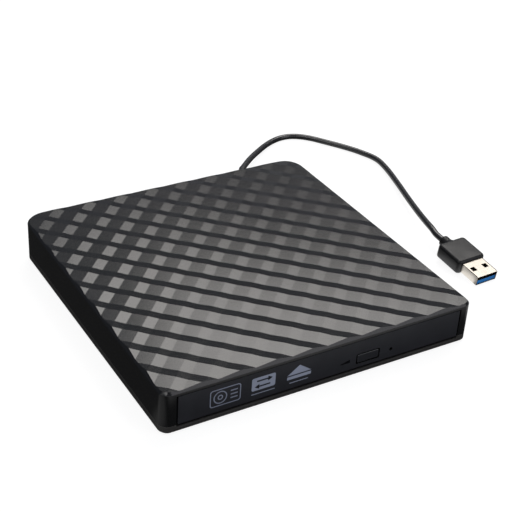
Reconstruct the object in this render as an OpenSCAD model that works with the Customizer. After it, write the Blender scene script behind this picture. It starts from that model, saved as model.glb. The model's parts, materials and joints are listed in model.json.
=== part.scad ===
// External disc drive: a slim tray drive in a two-part plastic case, with a captive cord and plug.
// Millimetres, +Z up, front of the drive towards -Y, origin under the middle of the case on its feet.

/* [Drive unit] */
// Width of the sheet-metal pan
drive_w = 128; // [127.5:0.5:134]
// Height of the drive unit and of its front panel
drive_h = 12.7; // [12.7:0.1:15]
// Depth of the drive unit from the front panel's face to its rear wall
drive_d = 127; // [127:0.5:140]
// Thickness of the pan's and lid's sheet metal
sheet_t = 0.6; // [0.5:0.05:0.7]

/* [Case] */
// Side space between the drive unit and each case wall
side_gap = 5.7; // [5.5:0.1:9]
// Space behind the drive unit for the bridge board
rear_bay = 15.2; // [15:0.1:24]
// Height of the posts that carry the drive unit
drive_lift = 1.5; // [1.3:0.1:4]
// Free height between the drive unit and the case's roof
roof_gap = 0.4; // [0.3:0.1:3]
// Thickness of the side and back walls
wall_t = 1.8; // [1.4:0.1:2.4]
// Thickness of the lower case's floor
floor_t = 2.1; // [1.9:0.1:3]
// Thickness of the roof under the lowest line of its pattern
roof_t = 1.8; // [0.8:0.1:2.5]
// Thickness of the upper case's front frame
front_t = 2; // [1.2:0.1:2.2]
// Height of the lower case
base_h = 3.4; // [3.2:0.1:3.7]
// Radius of the two upright corners at the front
front_corner_r = 4; // [2.5:0.1:8]
// Radius of the two upright corners at the back
back_corner_r = 9.5; // [4:0.1:12]
// Bevel along the top edges of the case
edge_bevel = 1.3; // [0.4:0.1:1.6]
// Bevel along the bottom edges of the case
base_bevel = 0.7; // [0.3:0.1:1.2]
// Height of a rubber foot
foot_h = 0.5; // [0.4:0.1:3]
// Radius of a rubber foot
foot_r = 5; // [3:0.1:6]
// Distance of a foot's centre from the sides of the case
foot_inset = 13; // [11:0.5:20]

/* [Check pattern] */
// Spacing of the pattern's stripes and bands
relief_pitch = 11.25; // [8:0.05:16]
// Direction in which the stripes follow each other, from +X
relief_angle = 45.7; // [30:0.1:60]
// Width of the falling side of a stripe
stripe_w = 4.3; // [2:0.05:7]
// Height of a stripe
stripe_h = 0.35; // [0.1:0.05:1]
// Place of the first stripe along its direction
stripe_shift = 0.95; // [0:0.05:11]
// Width of the falling side of a band
band_w = 4.7; // [2:0.05:7]
// Height of a band
band_h = 0.25; // [0.1:0.05:1]
// Place of the first band along its direction
band_shift = 0.15; // [0:0.05:11]

/* [Front panel] */
// Reach of the front panel past the pan on each side
bezel_over = 1; // [0.4:0.1:2]
// Thickness of the front panel's face
bezel_face_t = 1.8; // [1.4:0.1:1.9]
// Depth of the rim behind the front panel's face
bezel_lip = 0.7; // [0.65:0.05:0.8]
// Width of the front panel's rim
bezel_rim = 1; // [0.6:0.1:1.2]
// Gap between the front panel and the case's mouth at the sides
bezel_gap = 0.6; // [0.3:0.05:1]
// Gap between the front panel and the case's mouth below
bezel_low_gap = 1.3; // [0.6:0.05:1.4]
// Gap between the front panel and the case's mouth above
bezel_top_gap = 0.25; // [0.15:0.05:0.3]
// Width of the eject button
button_w = 10.2; // [8:0.1:12]
// Height of the eject button
button_h = 3.7; // [3.5:0.1:4.6]
// Place of the button's centre to the right of the middle
button_x = 19.75; // [17.5:0.25:22]
// Height of the button's centre above the drive unit's underside
button_z = 4.15; // [4:0.05:4.3]
// Gap round the eject button
button_gap = 0.6; // [0.2:0.05:0.6]
// Width of the light window
window_w = 4.6; // [3:0.1:5]
// Height of the light window at its tall end
window_h = 1.5; // [0.8:0.1:1.8]
// Place of the light window's thin end to the right of the middle
window_x = 6.4; // [5:0.1:7]
// Height of the light window's flat edge above the drive unit's underside
window_z = 3.6; // [3.2:0.1:4]
// Bore of the emergency-eject pinhole
pinhole_d = 1.6; // [0.9:0.05:1.6]
// Place of the pinhole to the right of the middle
pinhole_x = 31; // [28.5:0.5:34]
// Height of the pinhole above the drive unit's underside
pinhole_z = 4.1; // [3.5:0.1:4.5]

/* [Tray] */
// Radius of the disc that the tray takes
disc_r = 60; // [59:0.5:60.5]
// Gap round the disc in its recess
disc_gap = 0.6; // [0.4:0.1:0.8]
// Radius of the small disc's recess
small_disc_r = 40.5; // [30:0.5:45]
// Depth of the small disc's recess
small_disc_drop = 0.4; // [0.2:0.1:0.5]
// Height of the tray's rim underside above the drive unit's underside
deck_z = 6.5; // [6.5:0.05:6.7]
// Height of the tray's rim
deck_h = 4; // [3.6:0.1:4.4]
// Depth of the disc recess below the rim
recess_depth = 2.2; // [2:0.1:2.4]
// Thickness of the recess floor
recess_floor_t = 1; // [0.8:0.05:1]
// Gap between the tray and the pan's side walls
tray_gap = 0.5; // [0.3:0.05:0.7]
// Length of a telescopic rail
rail_l = 100; // [90:1:108]
// Height of a telescopic rail
rail_h = 2.1; // [1.6:0.1:2.2]
// Width of a telescopic rail
rail_w = 3.5; // [3.4:0.1:3.9]
// Gap above and below a telescopic rail
rail_gap = 0.25; // [0.15:0.05:0.3]

/* [Pickup] */
// Place of the spindle behind the front panel's face
spindle_y = 64; // [63.8:0.1:64.4]
// Direction in which the pickup sled moves out, from +X
sled_angle = 225; // [223:0.5:227]
// Distance of the lens from the spindle at rest
lens_reach = 24; // [24:0.1:25]
// Radius of a guide rod
rod_r = 1; // [0.7:0.05:1.1]
// Distance of each guide rod from the pickup's middle line
rod_offset = 10.6; // [10.2:0.1:10.8]
// Outer radius of the lead screw
screw_r = 1.2; // [0.9:0.05:1.25]
// Pitch of the lead screw's thread
screw_pitch = 3; // [2:0.1:4]
// Radius of the turntable
turntable_r = 12.6; // [11:0.1:12.8]
// Radius of the hub that centres the disc
hub_r = 7.35; // [7:0.05:7.45]
// Radius of a clamping ball
ball_r = 0.9; // [0.7:0.05:0.95]
// Radius of the lens
lens_r = 2.2; // [1.6:0.1:2.6]

/* [Cord and plug] */
// Diameter of the cord
cord_d = 3; // [2:0.1:3.4]
// Width of the plug's metal shell
shell_w = 12; // [10:0.1:14]
// Height of the plug's metal shell
shell_h = 4.5; // [4:0.1:5.5]
// Free length of the plug's metal shell
shell_l = 11.2; // [9:0.1:14]
// Wall of the plug's metal shell
shell_t = 0.3; // [0.25:0.05:0.4]
// Width of the plug's grip
grip_w = 16; // [14.5:0.1:20]
// Height of the plug's grip
grip_h = 7.2; // [6.5:0.1:9]
// Length of the plug's grip
grip_l = 15.6; // [12:0.1:24]
// Bevel along the plug's grip
grip_bevel = 0.8; // [0.6:0.1:2]
// Radius of the grip's four corners, seen from above
grip_corner_r = 1.5; // [1:0.1:3]
// Length of the neck behind the plug's grip
neck_l = 4.5; // [3:0.1:8]

/* [Fits] */
// Free gap between pieces that pass each other
fit_gap = 0.3; // [0.25:0.01:0.35]
// Radial clearance of a shaft in its bore
run_gap = 0.05; // [0.02:0.01:0.08]
// Radial clearance of a screw in its thread
thread_gap = 0.02; // [0.01:0.01:0.05]

/* [Hidden] */

$fn = 64;
past = 1;

// Case, in the object's own frame
relief_h = stripe_h + band_h;
case_w = drive_w + 2 * (side_gap + wall_t);
case_d = drive_d + rear_bay + wall_t;
front_y = -case_d / 2;
floor_z = foot_h + floor_t;
drive_z = floor_z + drive_lift;
roof_z = drive_z + drive_h + roof_gap;
case_top = roof_z + roof_t + relief_h;
split_z = foot_h + base_h;
bezel_w = drive_w + 2 * bezel_over;
mouth_w = bezel_w + 2 * bezel_gap;
mouth_z = drive_z - bezel_low_gap;
mouth_top = drive_z + drive_h + bezel_top_gap;
front_lip_t = 0.9;
front_groove = 2.6;
groove_floor_t = 1;

// Screws: shank radius, head radius and head height
thread_r = 0.9;
head_r = 1.7;
head_h = 0.9;
screw_hole_r = thread_r + 0.2;
head_hole_r = head_r + 0.2;
boss_r = 2.2;
boss_bite = 0.3;
boss_inset = 12;
boss_x = case_w / 2 - wall_t - boss_r + boss_bite;
case_screw_l = 6;
case_screw_at = [for (sx = [-1, 1], sy = [-1, 1]) [sx * boss_x, sy * (case_d / 2 - boss_inset)]];
foot_at = [for (sx = [-1, 1], sy = [-1, 1]) [sx * (case_w / 2 - foot_inset), sy * (case_d / 2 - foot_inset)]];
head_sink = head_h + 0.1;

// Drive unit, measured from the front panel's face and the drive unit's underside
bezel_t = bezel_face_t + bezel_lip;
pan_front = bezel_t + fit_gap;
pan_in = drive_w / 2 - sheet_t;
rear_in = drive_d - sheet_t;
lid_z = drive_h - sheet_t;
drive_post_r = 3;
drive_screw_x = drive_w / 2 - 10;
drive_screw_at = [for (sx = [-1, 1], y = [drive_d / 4, drive_d - 25]) [sx * drive_screw_x, y]];
lid_tab = 4;
lid_tab_t = 1;
lid_screw_at = [for (sx = [-1, 1], y = [pan_front + lid_tab / 2, rear_in - lid_tab / 2])
    [sx * (pan_in - lid_tab / 2), y]];

// Rails: guide on the pan, sliding rail, runner under the tray
guide_wall = 1.2;
guide_lip = 1;
guide_front = 6;
guide_back = rear_in - 2.4;
guide_z = 1.5;
guide_h = rail_h + 2 * (rail_gap + guide_lip);
rail_z = guide_z + guide_lip + rail_gap;
rail_front = 8;
rail_out = pan_in - guide_wall - fit_gap;
rail_in = rail_out - rail_w;
guide_in = rail_out - 1.5;
runner_out = guide_in - fit_gap;
runner_web_out = rail_in - fit_gap;
runner_in = runner_web_out - guide_wall;
runner_back = rear_in - 8;

// Tray
tray_half = pan_in - tray_gap;
tray_front = bezel_t + 0.1;
tray_back = rear_in - 1;
deck_top = deck_z + deck_h;
recess_r = disc_r + disc_gap;
recess_z = deck_top - recess_depth;
recess_under = recess_z - recess_floor_t;
pocket_r = recess_r - 1;
window_r = recess_r - 0.5;
bush_pilot = recess_floor_t - small_disc_drop - 0.2;
window_slot_half = 12;
window_hub_r = 15;
tab_at = [12.9 - tray_half, -20, 36, tray_half - 12.9];
tab_w = 6;

// Front board behind the panel, with the push switch and the light source
board_t = 1;
board_z = 1.3;
board_top = board_z + board_t;
tray_board_x = [4, runner_in - 7.4];
tray_board_y = [5, 22];
board_post_at = [[tray_board_x[0] + 5, 18], [tray_board_x[1] - 4.5, 18]];
board_post_r = 2;
switch_w = 5.5;
switch_d = 3;
switch_y = 5.8;
plunger_r = 0.9;
plunger_y = 4.6;
plunger_l = 2;
button_travel = 0.5;
button_flange = 0.8;
button_flange_t = 0.6;
button_flange_y = bezel_face_t + 0.2;
light_w = 2;
light_d = 2.2;
light_h = 2.6;

// Pickup, in a frame with X along the sled's travel from the spindle
rotor_r = 11;
sled_in = rotor_r + 1;
sled_front = 6.5;
sled_half = 12.7;
sled_z = 2.1;
sled_top = 6.2;
rod_z = 3.5;
frame_z = 5.1;
frame_t = 1.2;
frame_top = frame_z + frame_t;
frame_back = -20;
frame_left = -15.2;
frame_right = 20.5;
opening_half = sled_half + 0.5;
opening_in = sled_in - 0.1;
rod_block_w = 4.2;
rod_block_l = 3.1;
rod_block_z = 2.2;
beam_out = (runner_in - 0.6) / cos(45) - rod_offset - rod_block_w / 2 - 1.42;
beam_in = beam_out - 2;
rotor_hole_r = rotor_r + 0.8;
rod_in = opening_in - 0.2 - rod_block_l;
rod_bore_r = rod_r + thread_gap;
bush_r = 2.4;
bush_at = [[-17.4, 17.4], [-17.4, -12.5], [beam_in - 23.5, 18.6]];
cover_z = frame_top + 0.5;
cover_t = 0.3;
cover_half = opening_half + 0.6;
cover_slot_half = 7;
cover_back = -14.4;
cover_front = beam_in - 6;
cover_slot_in = lens_reach - 6;
screw_offset = 15.6;
screw_z = 3.6;
screw_in = 11;
screw_out = beam_in - 14;
journal_r = 0.8;
journal_l = 2.5;
motor_r = 2.4;
motor_in = screw_out + 0.5;
motor_l = 11.2;
cradle_l = beam_in - motor_in - motor_l;

// Spindle
motor_base_z = 1.3;
motor_base_t = 0.8;
motor_base_r = 11.7;
motor_base_l = 16;
motor_base_half = 12;
stator_r = 8.5;
stator_h = 2.2;
sleeve_r = 2.6;
sleeve_h = 2.5;
shaft_r = 1.2;
rotor_t = 0.8;
rotor_z = 4.9;
rotor_skirt = 2.3;
disc_rest = 8.9;
turntable_t = 1;
turntable_boss_r = 7;
ring_w = 2;
ring_t = 0.4;
hub_h = 2.1;
cap_r = 4.5;
cap_t = 0.3;
ball_reach = hub_r + 0.45 - ball_r;
ball_z = disc_rest + hub_h / 2;
ball_pocket_r = ball_r + 2 * run_gap;
motor_post_at = [[-13.5, 10], [-13.5, -10]];
motor_post_r = 2;

// Lens and its focus magnets
holder_l = 6.4;
holder_w = 9;
holder_t = 1.3;
focus_travel = 0.4;
holder_z = sled_top + focus_travel + 0.2;
magnet_w = 1.4;
magnet_h = 1.5;

// Latch, drawn where it catches the post and stored swung clear of it
post_at = [runner_in - 4.9, 46];
latch_at = [post_at[0] - 24, 26];
latch_release = 8;
latch_z = 3.2;
latch_t = 1.5;
latch_half = 1.2;
post_r = 1.2;
hook_at = [post_at[0] - 3.5, 47.5];
pivot_r = 1.2;
release_at = [latch_at[0] + 6, 13.5];
solenoid_at = [latch_at[0] - 18, 24];
solenoid_size = [12, 8];

// Main board and what stands on it
cable_x = 2.9 - runner_in;
main_x = [cable_x, runner_in - 7.9];
main_y = [0.756 * drive_d, rear_in - 1.4];
standoff_r = 1.8;
standoff_at = [for (x = [main_x[0] + 4, main_x[1] - 4], y = [main_y[0] + 4, main_y[1] - 4]) [x, y]];
plug_x = [-29, -1];
plug_z = 4.1;
plug_h = 3.8;
plug_wall = 1;
plug_depth = 4.2;
connector_back = drive_d + 1.2;
connector_in = 3.6;
bridge_connector_l = 5.5;
ejector_x = 30;
ejector_z = 4.6;
ejector_r = 0.8;
ejector_wall = 1.2;
collar_r = 1.6;
collar_t = 0.8;
spring_turns = 4;
spring_wire_r = 0.2;
spring_r = 1.4;
spring_pitch = 0.85;
spring_sides = 6;
spring_rings = 8;
housing_back = main_y[1] - 0.4;
ejector_front = housing_back - 14.6;
ejector_tip = ejector_front - 2.8;
spring_back = housing_back - ejector_wall;
spring_front = spring_back - spring_turns * spring_pitch - 2 * spring_wire_r - 0.1;

// Flat cable, folded back over itself between the main board and the tray
cable_w = 10;
cable_t = 0.2;
cable_bend_r = 1.8;
cable_fold_y = main_y[0] - 34;
cable_low_z = sheet_t + 0.1;
cable_end_y = main_y[0] - 8;

// Bridge board behind the drive unit
bridge_x = [-36, case_w / 2 - 10.5];
bridge_y = [drive_d + 1.6, drive_d + rear_bay - 1.6];
bridge_z = floor_z + 1.3 - drive_z;
bridge_t = 1.2;
bridge_top = bridge_z + bridge_t;
bridge_post_at = [[bridge_x[0] + 4, drive_d + 11], [bridge_x[1] - 3.5, drive_d + 4.5]];
bridge_screw_l = bridge_t + 1.6;

// Cord: exit in the back wall, then the route along the table to the plug
cord_x = case_w / 2 - 20;
cord_z = 7.6;
relief_r = 2.85;
relief_flange_r = 3.6;
relief_flange_t = 1;
relief_tail_r = cord_d / 2 + 0.5;
relief_l = 11;
cord_sides = 8;
cord_steps = 2;
cord_start = case_d / 2 - 8.5;
plug_nose = [case_w / 2 + 36.9, case_d / 2 - 111.9];
plug_yaw = 3.3;
plug_pitch = atan((grip_h - shell_h) / 2 / shell_l);
plug_axis_z = shell_h / 2 * cos(plug_pitch);
plug_l = shell_l + grip_l + neck_l;
function on_plug_axis(d) = [
    plug_nose[0] - d * cos(plug_pitch) * sin(plug_yaw),
    plug_nose[1] + d * cos(plug_pitch) * cos(plug_yaw),
    plug_axis_z + d * sin(plug_pitch)
];

// Where the cord goes past its exit: place from the case's right side and back, and height of its underside
bends = [
    [-19.4, 15.7, 5.9], [-17.8, 19.6, 5.25], [-14.8, 23, 4.35], [-8.5, 29.3, 3.45], [-2.4, 34.9, 2.55],
    [4.5, 40.5, 1.7], [11.2, 45.6, 0.95], [17.2, 49.3, 0.45], [22.5, 51.6, 0.15], [26.5, 52.4, 0.05],
    [30.2, 52.2, 0.05], [33.5, 51.1, 0.05], [36.6, 49.2, 0.05], [39.1, 47, 0.05], [41.8, 43.9, 0.05],
    [44.5, 40, 0.05], [47.9, 35, 0.05], [51.5, 29.5, 0.05], [55, 23.4, 0.05], [57.5, 17.8, 0.05],
    [59.4, 12.7, 0.05], [60, 7.1, 0.1], [58.9, 0, 0.25], [56.7, -8.6, 0.5], [52.5, -21.5, 1.2],
    [47.7, -34.8, 2.25], [43.1, -47.6, 3.45], [39.7, -57.5, 4.45], [37.3, -65.1, 5.2], [35.8, -71, 5.5]
];
exit_y = case_d / 2;
route = concat(
    [for (y = [cord_start, exit_y, exit_y + relief_l - 4, exit_y + relief_l + 1]) [cord_x, y, cord_z]],
    [for (p = bends) [case_w / 2 + p[0], exit_y + p[1], p[2] + cord_d / 2]],
    [on_plug_axis(plug_l + 5), on_plug_axis(plug_l)]);
neck_r = 2.7;
shell_hole = 2.5;
shell_hole_x = 3.5;
shell_hole_y = 4.6;
tongue_h = 1.9;
contact_w = 1;
contact_t = 0.15;
contact_l = 7.5;
contact_pitch = 2.4;

// Colours
case_black = [0.13, 0.13, 0.14];
satin_black = [0.1, 0.1, 0.11];
soft_black = [0.06, 0.06, 0.06];
steel = [0.72, 0.73, 0.75];
board_green = [0.05, 0.3, 0.16];
chip_grey = [0.15, 0.15, 0.16];
white_plastic = [0.85, 0.85, 0.82];
brass_gold = [0.85, 0.68, 0.3];

// Moves what is measured from the front panel's face and the drive's underside into place
module in_drive() {
    translate([0, front_y, drive_z])
        children();
}

// Moves what is measured from the spindle along the sled's travel into place
module in_pickup() {
    in_drive()
        translate([0, spindle_y, 0])
            rotate([0, 0, sled_angle])
                children();
}

// Moves what is measured from the plug's nose along its axis into place
module in_plug() {
    translate([plug_nose[0], plug_nose[1], plug_axis_z])
        rotate([plug_pitch, 0, plug_yaw])
            children();
}

// A box between two corners
module block(low, high) {
    translate(low)
        cube(high - low);
}

// A round bar along +Y
module bar_y(r, length) {
    rotate([-90, 0, 0])
        cylinder(r = r, h = length);
}

// A round bar along +X
module bar_x(r, length) {
    rotate([0, 90, 0])
        cylinder(r = r, h = length);
}

// An upright outline in X and Z, carried from one depth to another
module upright(from_y, to_y) {
    translate([0, to_y, 0])
        rotate([90, 0, 0])
            linear_extrude(to_y - from_y)
                children();
}

// A rectangle about its centre with round corners
module round_rect(w, h, r) {
    square([w - 2 * r, h], center = true);
    square([w, h - 2 * r], center = true);
    for (sx = [-1, 1], sy = [-1, 1])
        translate([sx * (w / 2 - r), sy * (h / 2 - r)])
            circle(r);
}

// A screw with its head down on z = 0 and its shank upwards
module screw(length) {
    translate([0, 0, -head_h])
        cylinder(r = head_r, h = head_h);
    cylinder(r = thread_r, h = length);
}

// The case's plan outline, drawn in by inset
module case_plan(inset) {
    x = case_w / 2 - inset;
    y = case_d / 2 - inset;
    front_r = max(front_corner_r - inset, 0.5);
    back_r = max(back_corner_r - inset, 0.5);
    translate([-x, -(y - front_r)])
        square([2 * x, 2 * y - front_r - back_r]);
    translate([-(x - front_r), -y])
        square([2 * (x - front_r), y]);
    translate([-(x - back_r), 0])
        square([2 * (x - back_r), y]);
    for (sx = [-1, 1]) {
        translate([sx * (x - front_r), -(y - front_r)])
            circle(front_r);
        translate([sx * (x - back_r), y - back_r])
            circle(back_r);
    }
}

// A solid of the case's outline whose upper edge is bevelled by b
module case_block(h, b) {
    x = case_w / 2;
    y = case_d / 2;
    across = [[-x, 0], [x, 0], [x, h - b], [x - b, h], [b - x, h], [-x, h - b]];
    for (sx = [-1, 1], c = [[-1, front_corner_r], [1, back_corner_r]])
        translate([sx * (x - c[1]), c[0] * (y - c[1]), 0]) {
            cylinder(r = c[1], h = h - b);
            translate([0, 0, h - b])
                cylinder(r1 = c[1], r2 = c[1] - b, h = b);
        }
    upright(front_corner_r - y, y - back_corner_r)
        polygon(across);
    for (c = [[-1, front_corner_r], [1, back_corner_r]])
        translate([c[1] - x, 0, 0])
            rotate([90, 0, 90])
                linear_extrude(2 * (x - c[1]))
                    polygon([[0, 0], [c[0] * y, 0], [c[0] * y, h - b], [c[0] * (y - b), h], [0, h]]);
}

// The check pattern: stripes and bands add up to flat facets, one for each crossing
relief_count = ceil(norm([case_w, case_d]) / 2 / relief_pitch) + 1;
function ridge_lines(shift, fall) =
    [for (k = [-relief_count:relief_count]) each [shift + k * relief_pitch, shift + k * relief_pitch + fall]];
stripe_lines = ridge_lines(stripe_shift, stripe_w);
band_lines = ridge_lines(band_shift, band_w);
line_count = len(stripe_lines);
function relief_point(i, j, z) =
    let (u = stripe_lines[i], v = band_lines[j])
    [u * cos(relief_angle) + v * sin(relief_angle), u * sin(relief_angle) - v * cos(relief_angle), z];
function crest(i, rise) = i % 2 == 0 ? rise : 0;
function relief_z(i, j) = case_top - relief_h + crest(i, stripe_h) + crest(j, band_h);
function line_index(i, j) = i * line_count + j;

// A block wider than the case whose top is the check pattern
module relief_block(under_z) {
    last = line_count - 1;
    rim = concat(
        [for (i = [0:last - 1]) [i, 0]], [for (j = [0:last - 1]) [last, j]],
        [for (i = [last:-1:1]) [i, last]], [for (j = [last:-1:1]) [0, j]]);
    turns = len(rim);
    first_low = line_count * line_count;
    centre = first_low + turns;
    top_points = [for (i = [0:last], j = [0:last]) relief_point(i, j, relief_z(i, j))];
    low_points = [for (r = rim) relief_point(r[0], r[1], under_z)];
    middle = (low_points[0] + low_points[2 * last]) / 2;
    facets = [for (i = [0:last - 1], j = [0:last - 1])
        [line_index(i, j), line_index(i + 1, j), line_index(i + 1, j + 1), line_index(i, j + 1)]];
    sides = [for (k = [0:turns - 1]) let (q = (k + 1) % turns)
        [line_index(rim[k][0], rim[k][1]), first_low + k, first_low + q, line_index(rim[q][0], rim[q][1])]];
    under = [for (k = [0:turns - 1]) [centre, first_low + (k + 1) % turns, first_low + k]];
    polyhedron(concat(top_points, low_points, [middle]), concat(facets, sides, under));
}

// The mouth in the case's front, cut through both halves
module case_mouth() {
    block([-mouth_w / 2, front_y - past, mouth_z], [mouth_w / 2, front_y + front_t + past, mouth_top]);
}

// Upper case: walls, patterned roof, front frame and screw bosses
module top_cover() {
    color(case_black) {
        difference() {
            intersection() {
                translate([0, 0, split_z])
                    case_block(case_top - split_z, edge_bevel);
                relief_block(split_z - past);
            }
            intersection() {
                translate([0, 0, split_z - past])
                    linear_extrude(roof_z - split_z + past)
                        case_plan(wall_t);
                block([-case_w, front_y + front_t, 0], [case_w, case_d, roof_z]);
            }
            case_mouth();
            translate([cord_x, 0, cord_z])
                bar_y(relief_r + run_gap, case_d);
        }
        for (p = case_screw_at)
            translate([p[0], p[1], floor_z])
                difference() {
                    cylinder(r = boss_r, h = roof_z - floor_z);
                    translate([0, 0, -past])
                        cylinder(r = thread_r + thread_gap, h = case_screw_l + past);
                }
    }
}

// Lower case: floor, rim, posts for the drive unit and the bridge board
module base_cover() {
    rib_l = case_d / 2;
    rib_t = 1;
    rib_h = 0.8;
    rib_x = case_w / 2 - wall_t - 0.1;
    color(case_black)
        difference() {
            union() {
                difference() {
                    translate([0, 0, split_z])
                        mirror([0, 0, 1])
                            case_block(base_h, base_bevel);
                    translate([0, 0, floor_z])
                        linear_extrude(base_h)
                            case_plan(wall_t);
                    block([-bezel_w / 2, front_y + front_lip_t, foot_h + groove_floor_t],
                        [bezel_w / 2, front_y + front_lip_t + front_groove, split_z + past]);
                    case_mouth();
                }
                for (sx = [-1, 1])
                    block([min(sx * rib_x, sx * (rib_x - rib_t)), -rib_l / 2, floor_z - 0.5],
                        [max(sx * rib_x, sx * (rib_x - rib_t)), rib_l / 2, split_z + rib_h]);
                for (p = drive_screw_at)
                    translate([p[0], p[1] + front_y, floor_z - 0.5])
                        cylinder(r = drive_post_r, h = drive_lift + 0.5);
                for (p = bridge_post_at)
                    translate([p[0], p[1] + front_y, floor_z - 0.5])
                        cylinder(r = boss_r, h = bridge_z + drive_lift + 0.5);
            }
            for (p = case_screw_at)
                translate([p[0], p[1], foot_h - past]) {
                    screw_seat();
                    translate([0, 0, floor_t + past])
                        cylinder(r = boss_r + 0.1, h = base_h);
                }
            for (p = drive_screw_at)
                translate([p[0], p[1] + front_y, foot_h - past])
                    screw_seat();
            for (p = bridge_post_at)
                translate([p[0], p[1] + front_y, drive_z + bridge_z - bridge_screw_l + bridge_t])
                    cylinder(r = thread_r + thread_gap, h = bridge_screw_l);
        }
}

// The hole for a screw that comes up through the lower case
module screw_seat() {
    cylinder(r = screw_hole_r, h = drive_z + 2 * past);
    cylinder(r = head_hole_r, h = head_sink + past);
}

// Four round feet under the lower case
module rubber_feet() {
    color(soft_black)
        for (p = foot_at)
            translate([p[0], p[1], 0])
                cylinder(r = foot_r, h = foot_h);
}

// Screws that hold the two halves of the case together
module case_screws() {
    color(steel)
        for (p = case_screw_at)
            translate([p[0], p[1], foot_h + head_sink])
                screw(case_screw_l);
}

// Screws that hold the drive unit down on its posts
module drive_screws() {
    length = drive_z + sheet_t + 0.2 - foot_h - head_sink;
    color(steel)
        for (p = drive_screw_at)
            translate([p[0], p[1] + front_y, foot_h + head_sink])
                screw(length);
}

// Sheet-metal pan: floor, side walls, rear wall, lid tabs and board standoffs
module drive_pan() {
    color(steel)
        in_drive()
            difference() {
                union() {
                    difference() {
                        block([-drive_w / 2, pan_front, 0], [drive_w / 2, drive_d, lid_z]);
                        block([-pan_in, pan_front - past, sheet_t], [pan_in, rear_in, drive_h]);
                    }
                    for (p = lid_screw_at)
                        block([p[0] - lid_tab / 2, p[1] - lid_tab / 2, lid_z - lid_tab_t],
                            [p[0] + lid_tab / 2, p[1] + lid_tab / 2, lid_z]);
                    for (p = standoff_at)
                        translate([p[0], p[1], sheet_t / 2])
                            cylinder(r = standoff_r, h = board_z - sheet_t / 2);
                }
                for (p = drive_screw_at)
                    translate([p[0], p[1], -past])
                        cylinder(r = thread_r + thread_gap, h = sheet_t + 2 * past);
                for (p = lid_screw_at)
                    translate([p[0], p[1], lid_z - lid_tab_t - past])
                        cylinder(r = thread_r + thread_gap, h = lid_tab_t + 2 * past);
                block([plug_x[0] - 1, rear_in - past, board_top - fit_gap],
                    [plug_x[1] + 1, drive_d + past, board_top + plug_h + fit_gap]);
            }
}

// Flat lid over the pan
module drive_lid() {
    color(steel)
        in_drive()
            difference() {
                block([-drive_w / 2, pan_front, lid_z], [drive_w / 2, drive_d, drive_h]);
                for (p = lid_screw_at)
                    translate([p[0], p[1], lid_z - past])
                        cylinder(r = screw_hole_r, h = sheet_t + 2 * past);
            }
}

// Low screws that hold the lid to the pan's tabs
module lid_screws() {
    low_head_h = roof_gap - 0.1;
    color(steel)
        in_drive()
            for (p = lid_screw_at)
                translate([p[0], p[1], lid_z - lid_tab_t]) {
                    cylinder(r = thread_r, h = lid_tab_t + sheet_t);
                    translate([0, 0, lid_tab_t + sheet_t])
                        cylinder(r = head_r, h = low_head_h);
                }
}

// A channel on the pan's wall that a rail slides in
module rail_guide() {
    color(white_plastic)
        in_drive()
            difference() {
                block([guide_in, guide_front, guide_z], [pan_in, guide_back, guide_z + guide_h]);
                block([guide_in - past, guide_front - past, rail_z - rail_gap],
                    [rail_out + fit_gap, guide_back + past, rail_z + rail_h + rail_gap]);
            }
}

module left_guide() {
    mirror([1, 0, 0])
        rail_guide();
}

module right_guide() {
    rail_guide();
}

// A steel rail between the guide and the tray's runner
module slide_rail() {
    color(steel)
        in_drive()
            block([rail_in, rail_front, rail_z], [rail_out, rail_front + rail_l, rail_z + rail_h]);
}

module left_rail() {
    mirror([1, 0, 0])
        slide_rail();
}

module right_rail() {
    slide_rail();
}

// Board at the back of the pan
module main_board() {
    color(board_green)
        in_drive()
            block([main_x[0], main_y[0], board_z], [main_x[1], main_y[1], board_top]);
}

// Chips on the main board: place behind its front edge and size of each
main_chips = [[-20, 8, 12, 12], [4, 10, 9, 9], [-40, 12, 7, 10], [14, 20, 6, 4]];
chip_t = 1;
module drive_chips() {
    color(chip_grey)
        in_drive()
            for (c = main_chips)
                translate([c[0], main_y[0] + c[1], board_top])
                    cube([c[2], c[3], chip_t]);
}

// Connector on the main board, open to the rear
module drive_connector() {
    color(soft_black)
        in_drive()
            difference() {
                block([plug_x[0], main_y[1] - connector_in, board_top],
                    [plug_x[1], connector_back, board_top + plug_h]);
                block([plug_x[0] + plug_wall + 1, connector_back - plug_depth, board_top + plug_wall],
                    [plug_x[1] - plug_wall - 1, connector_back + past, board_top + plug_h - plug_wall]);
            }
}

// Flat cable: one leaf on the pan's floor, a fold, and one leaf up under the tray
module flat_cable() {
    bend_z = cable_low_z + cable_t + cable_bend_r;
    color(white_plastic)
        in_drive() {
            block([cable_x, cable_fold_y, cable_low_z],
                [cable_x + cable_w, main_y[0] - fit_gap, cable_low_z + cable_t]);
            block([cable_x, cable_fold_y, bend_z + cable_bend_r],
                [cable_x + cable_w, cable_end_y, bend_z + cable_bend_r + cable_t]);
            translate([cable_x, cable_fold_y, bend_z])
                rotate([90, 0, 90])
                    linear_extrude(cable_w)
                        difference() {
                            circle(cable_bend_r + cable_t);
                            circle(cable_bend_r);
                            translate([0, -2 * cable_bend_r])
                                square(4 * cable_bend_r);
                        }
        }
}

// Post on the pan's floor that the latch catches
module latch_post() {
    color(steel)
        in_drive()
            translate([post_at[0], post_at[1], sheet_t])
                cylinder(r = post_r, h = latch_z + latch_t - sheet_t);
}

// Bracket on the main board that carries the eject plunger
module eject_housing() {
    half = 3.5;
    top = deck_z - fit_gap;
    color(white_plastic)
        in_drive()
            difference() {
                block([ejector_x - half, ejector_front, board_top], [ejector_x + half, housing_back, top]);
                block([ejector_x - half - past, ejector_front + ejector_wall, board_top + 0.3],
                    [ejector_x + half + past, spring_back, top + past]);
                translate([ejector_x, ejector_front - past, ejector_z])
                    bar_y(ejector_r + run_gap, ejector_wall + 2 * past);
            }
}

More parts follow.
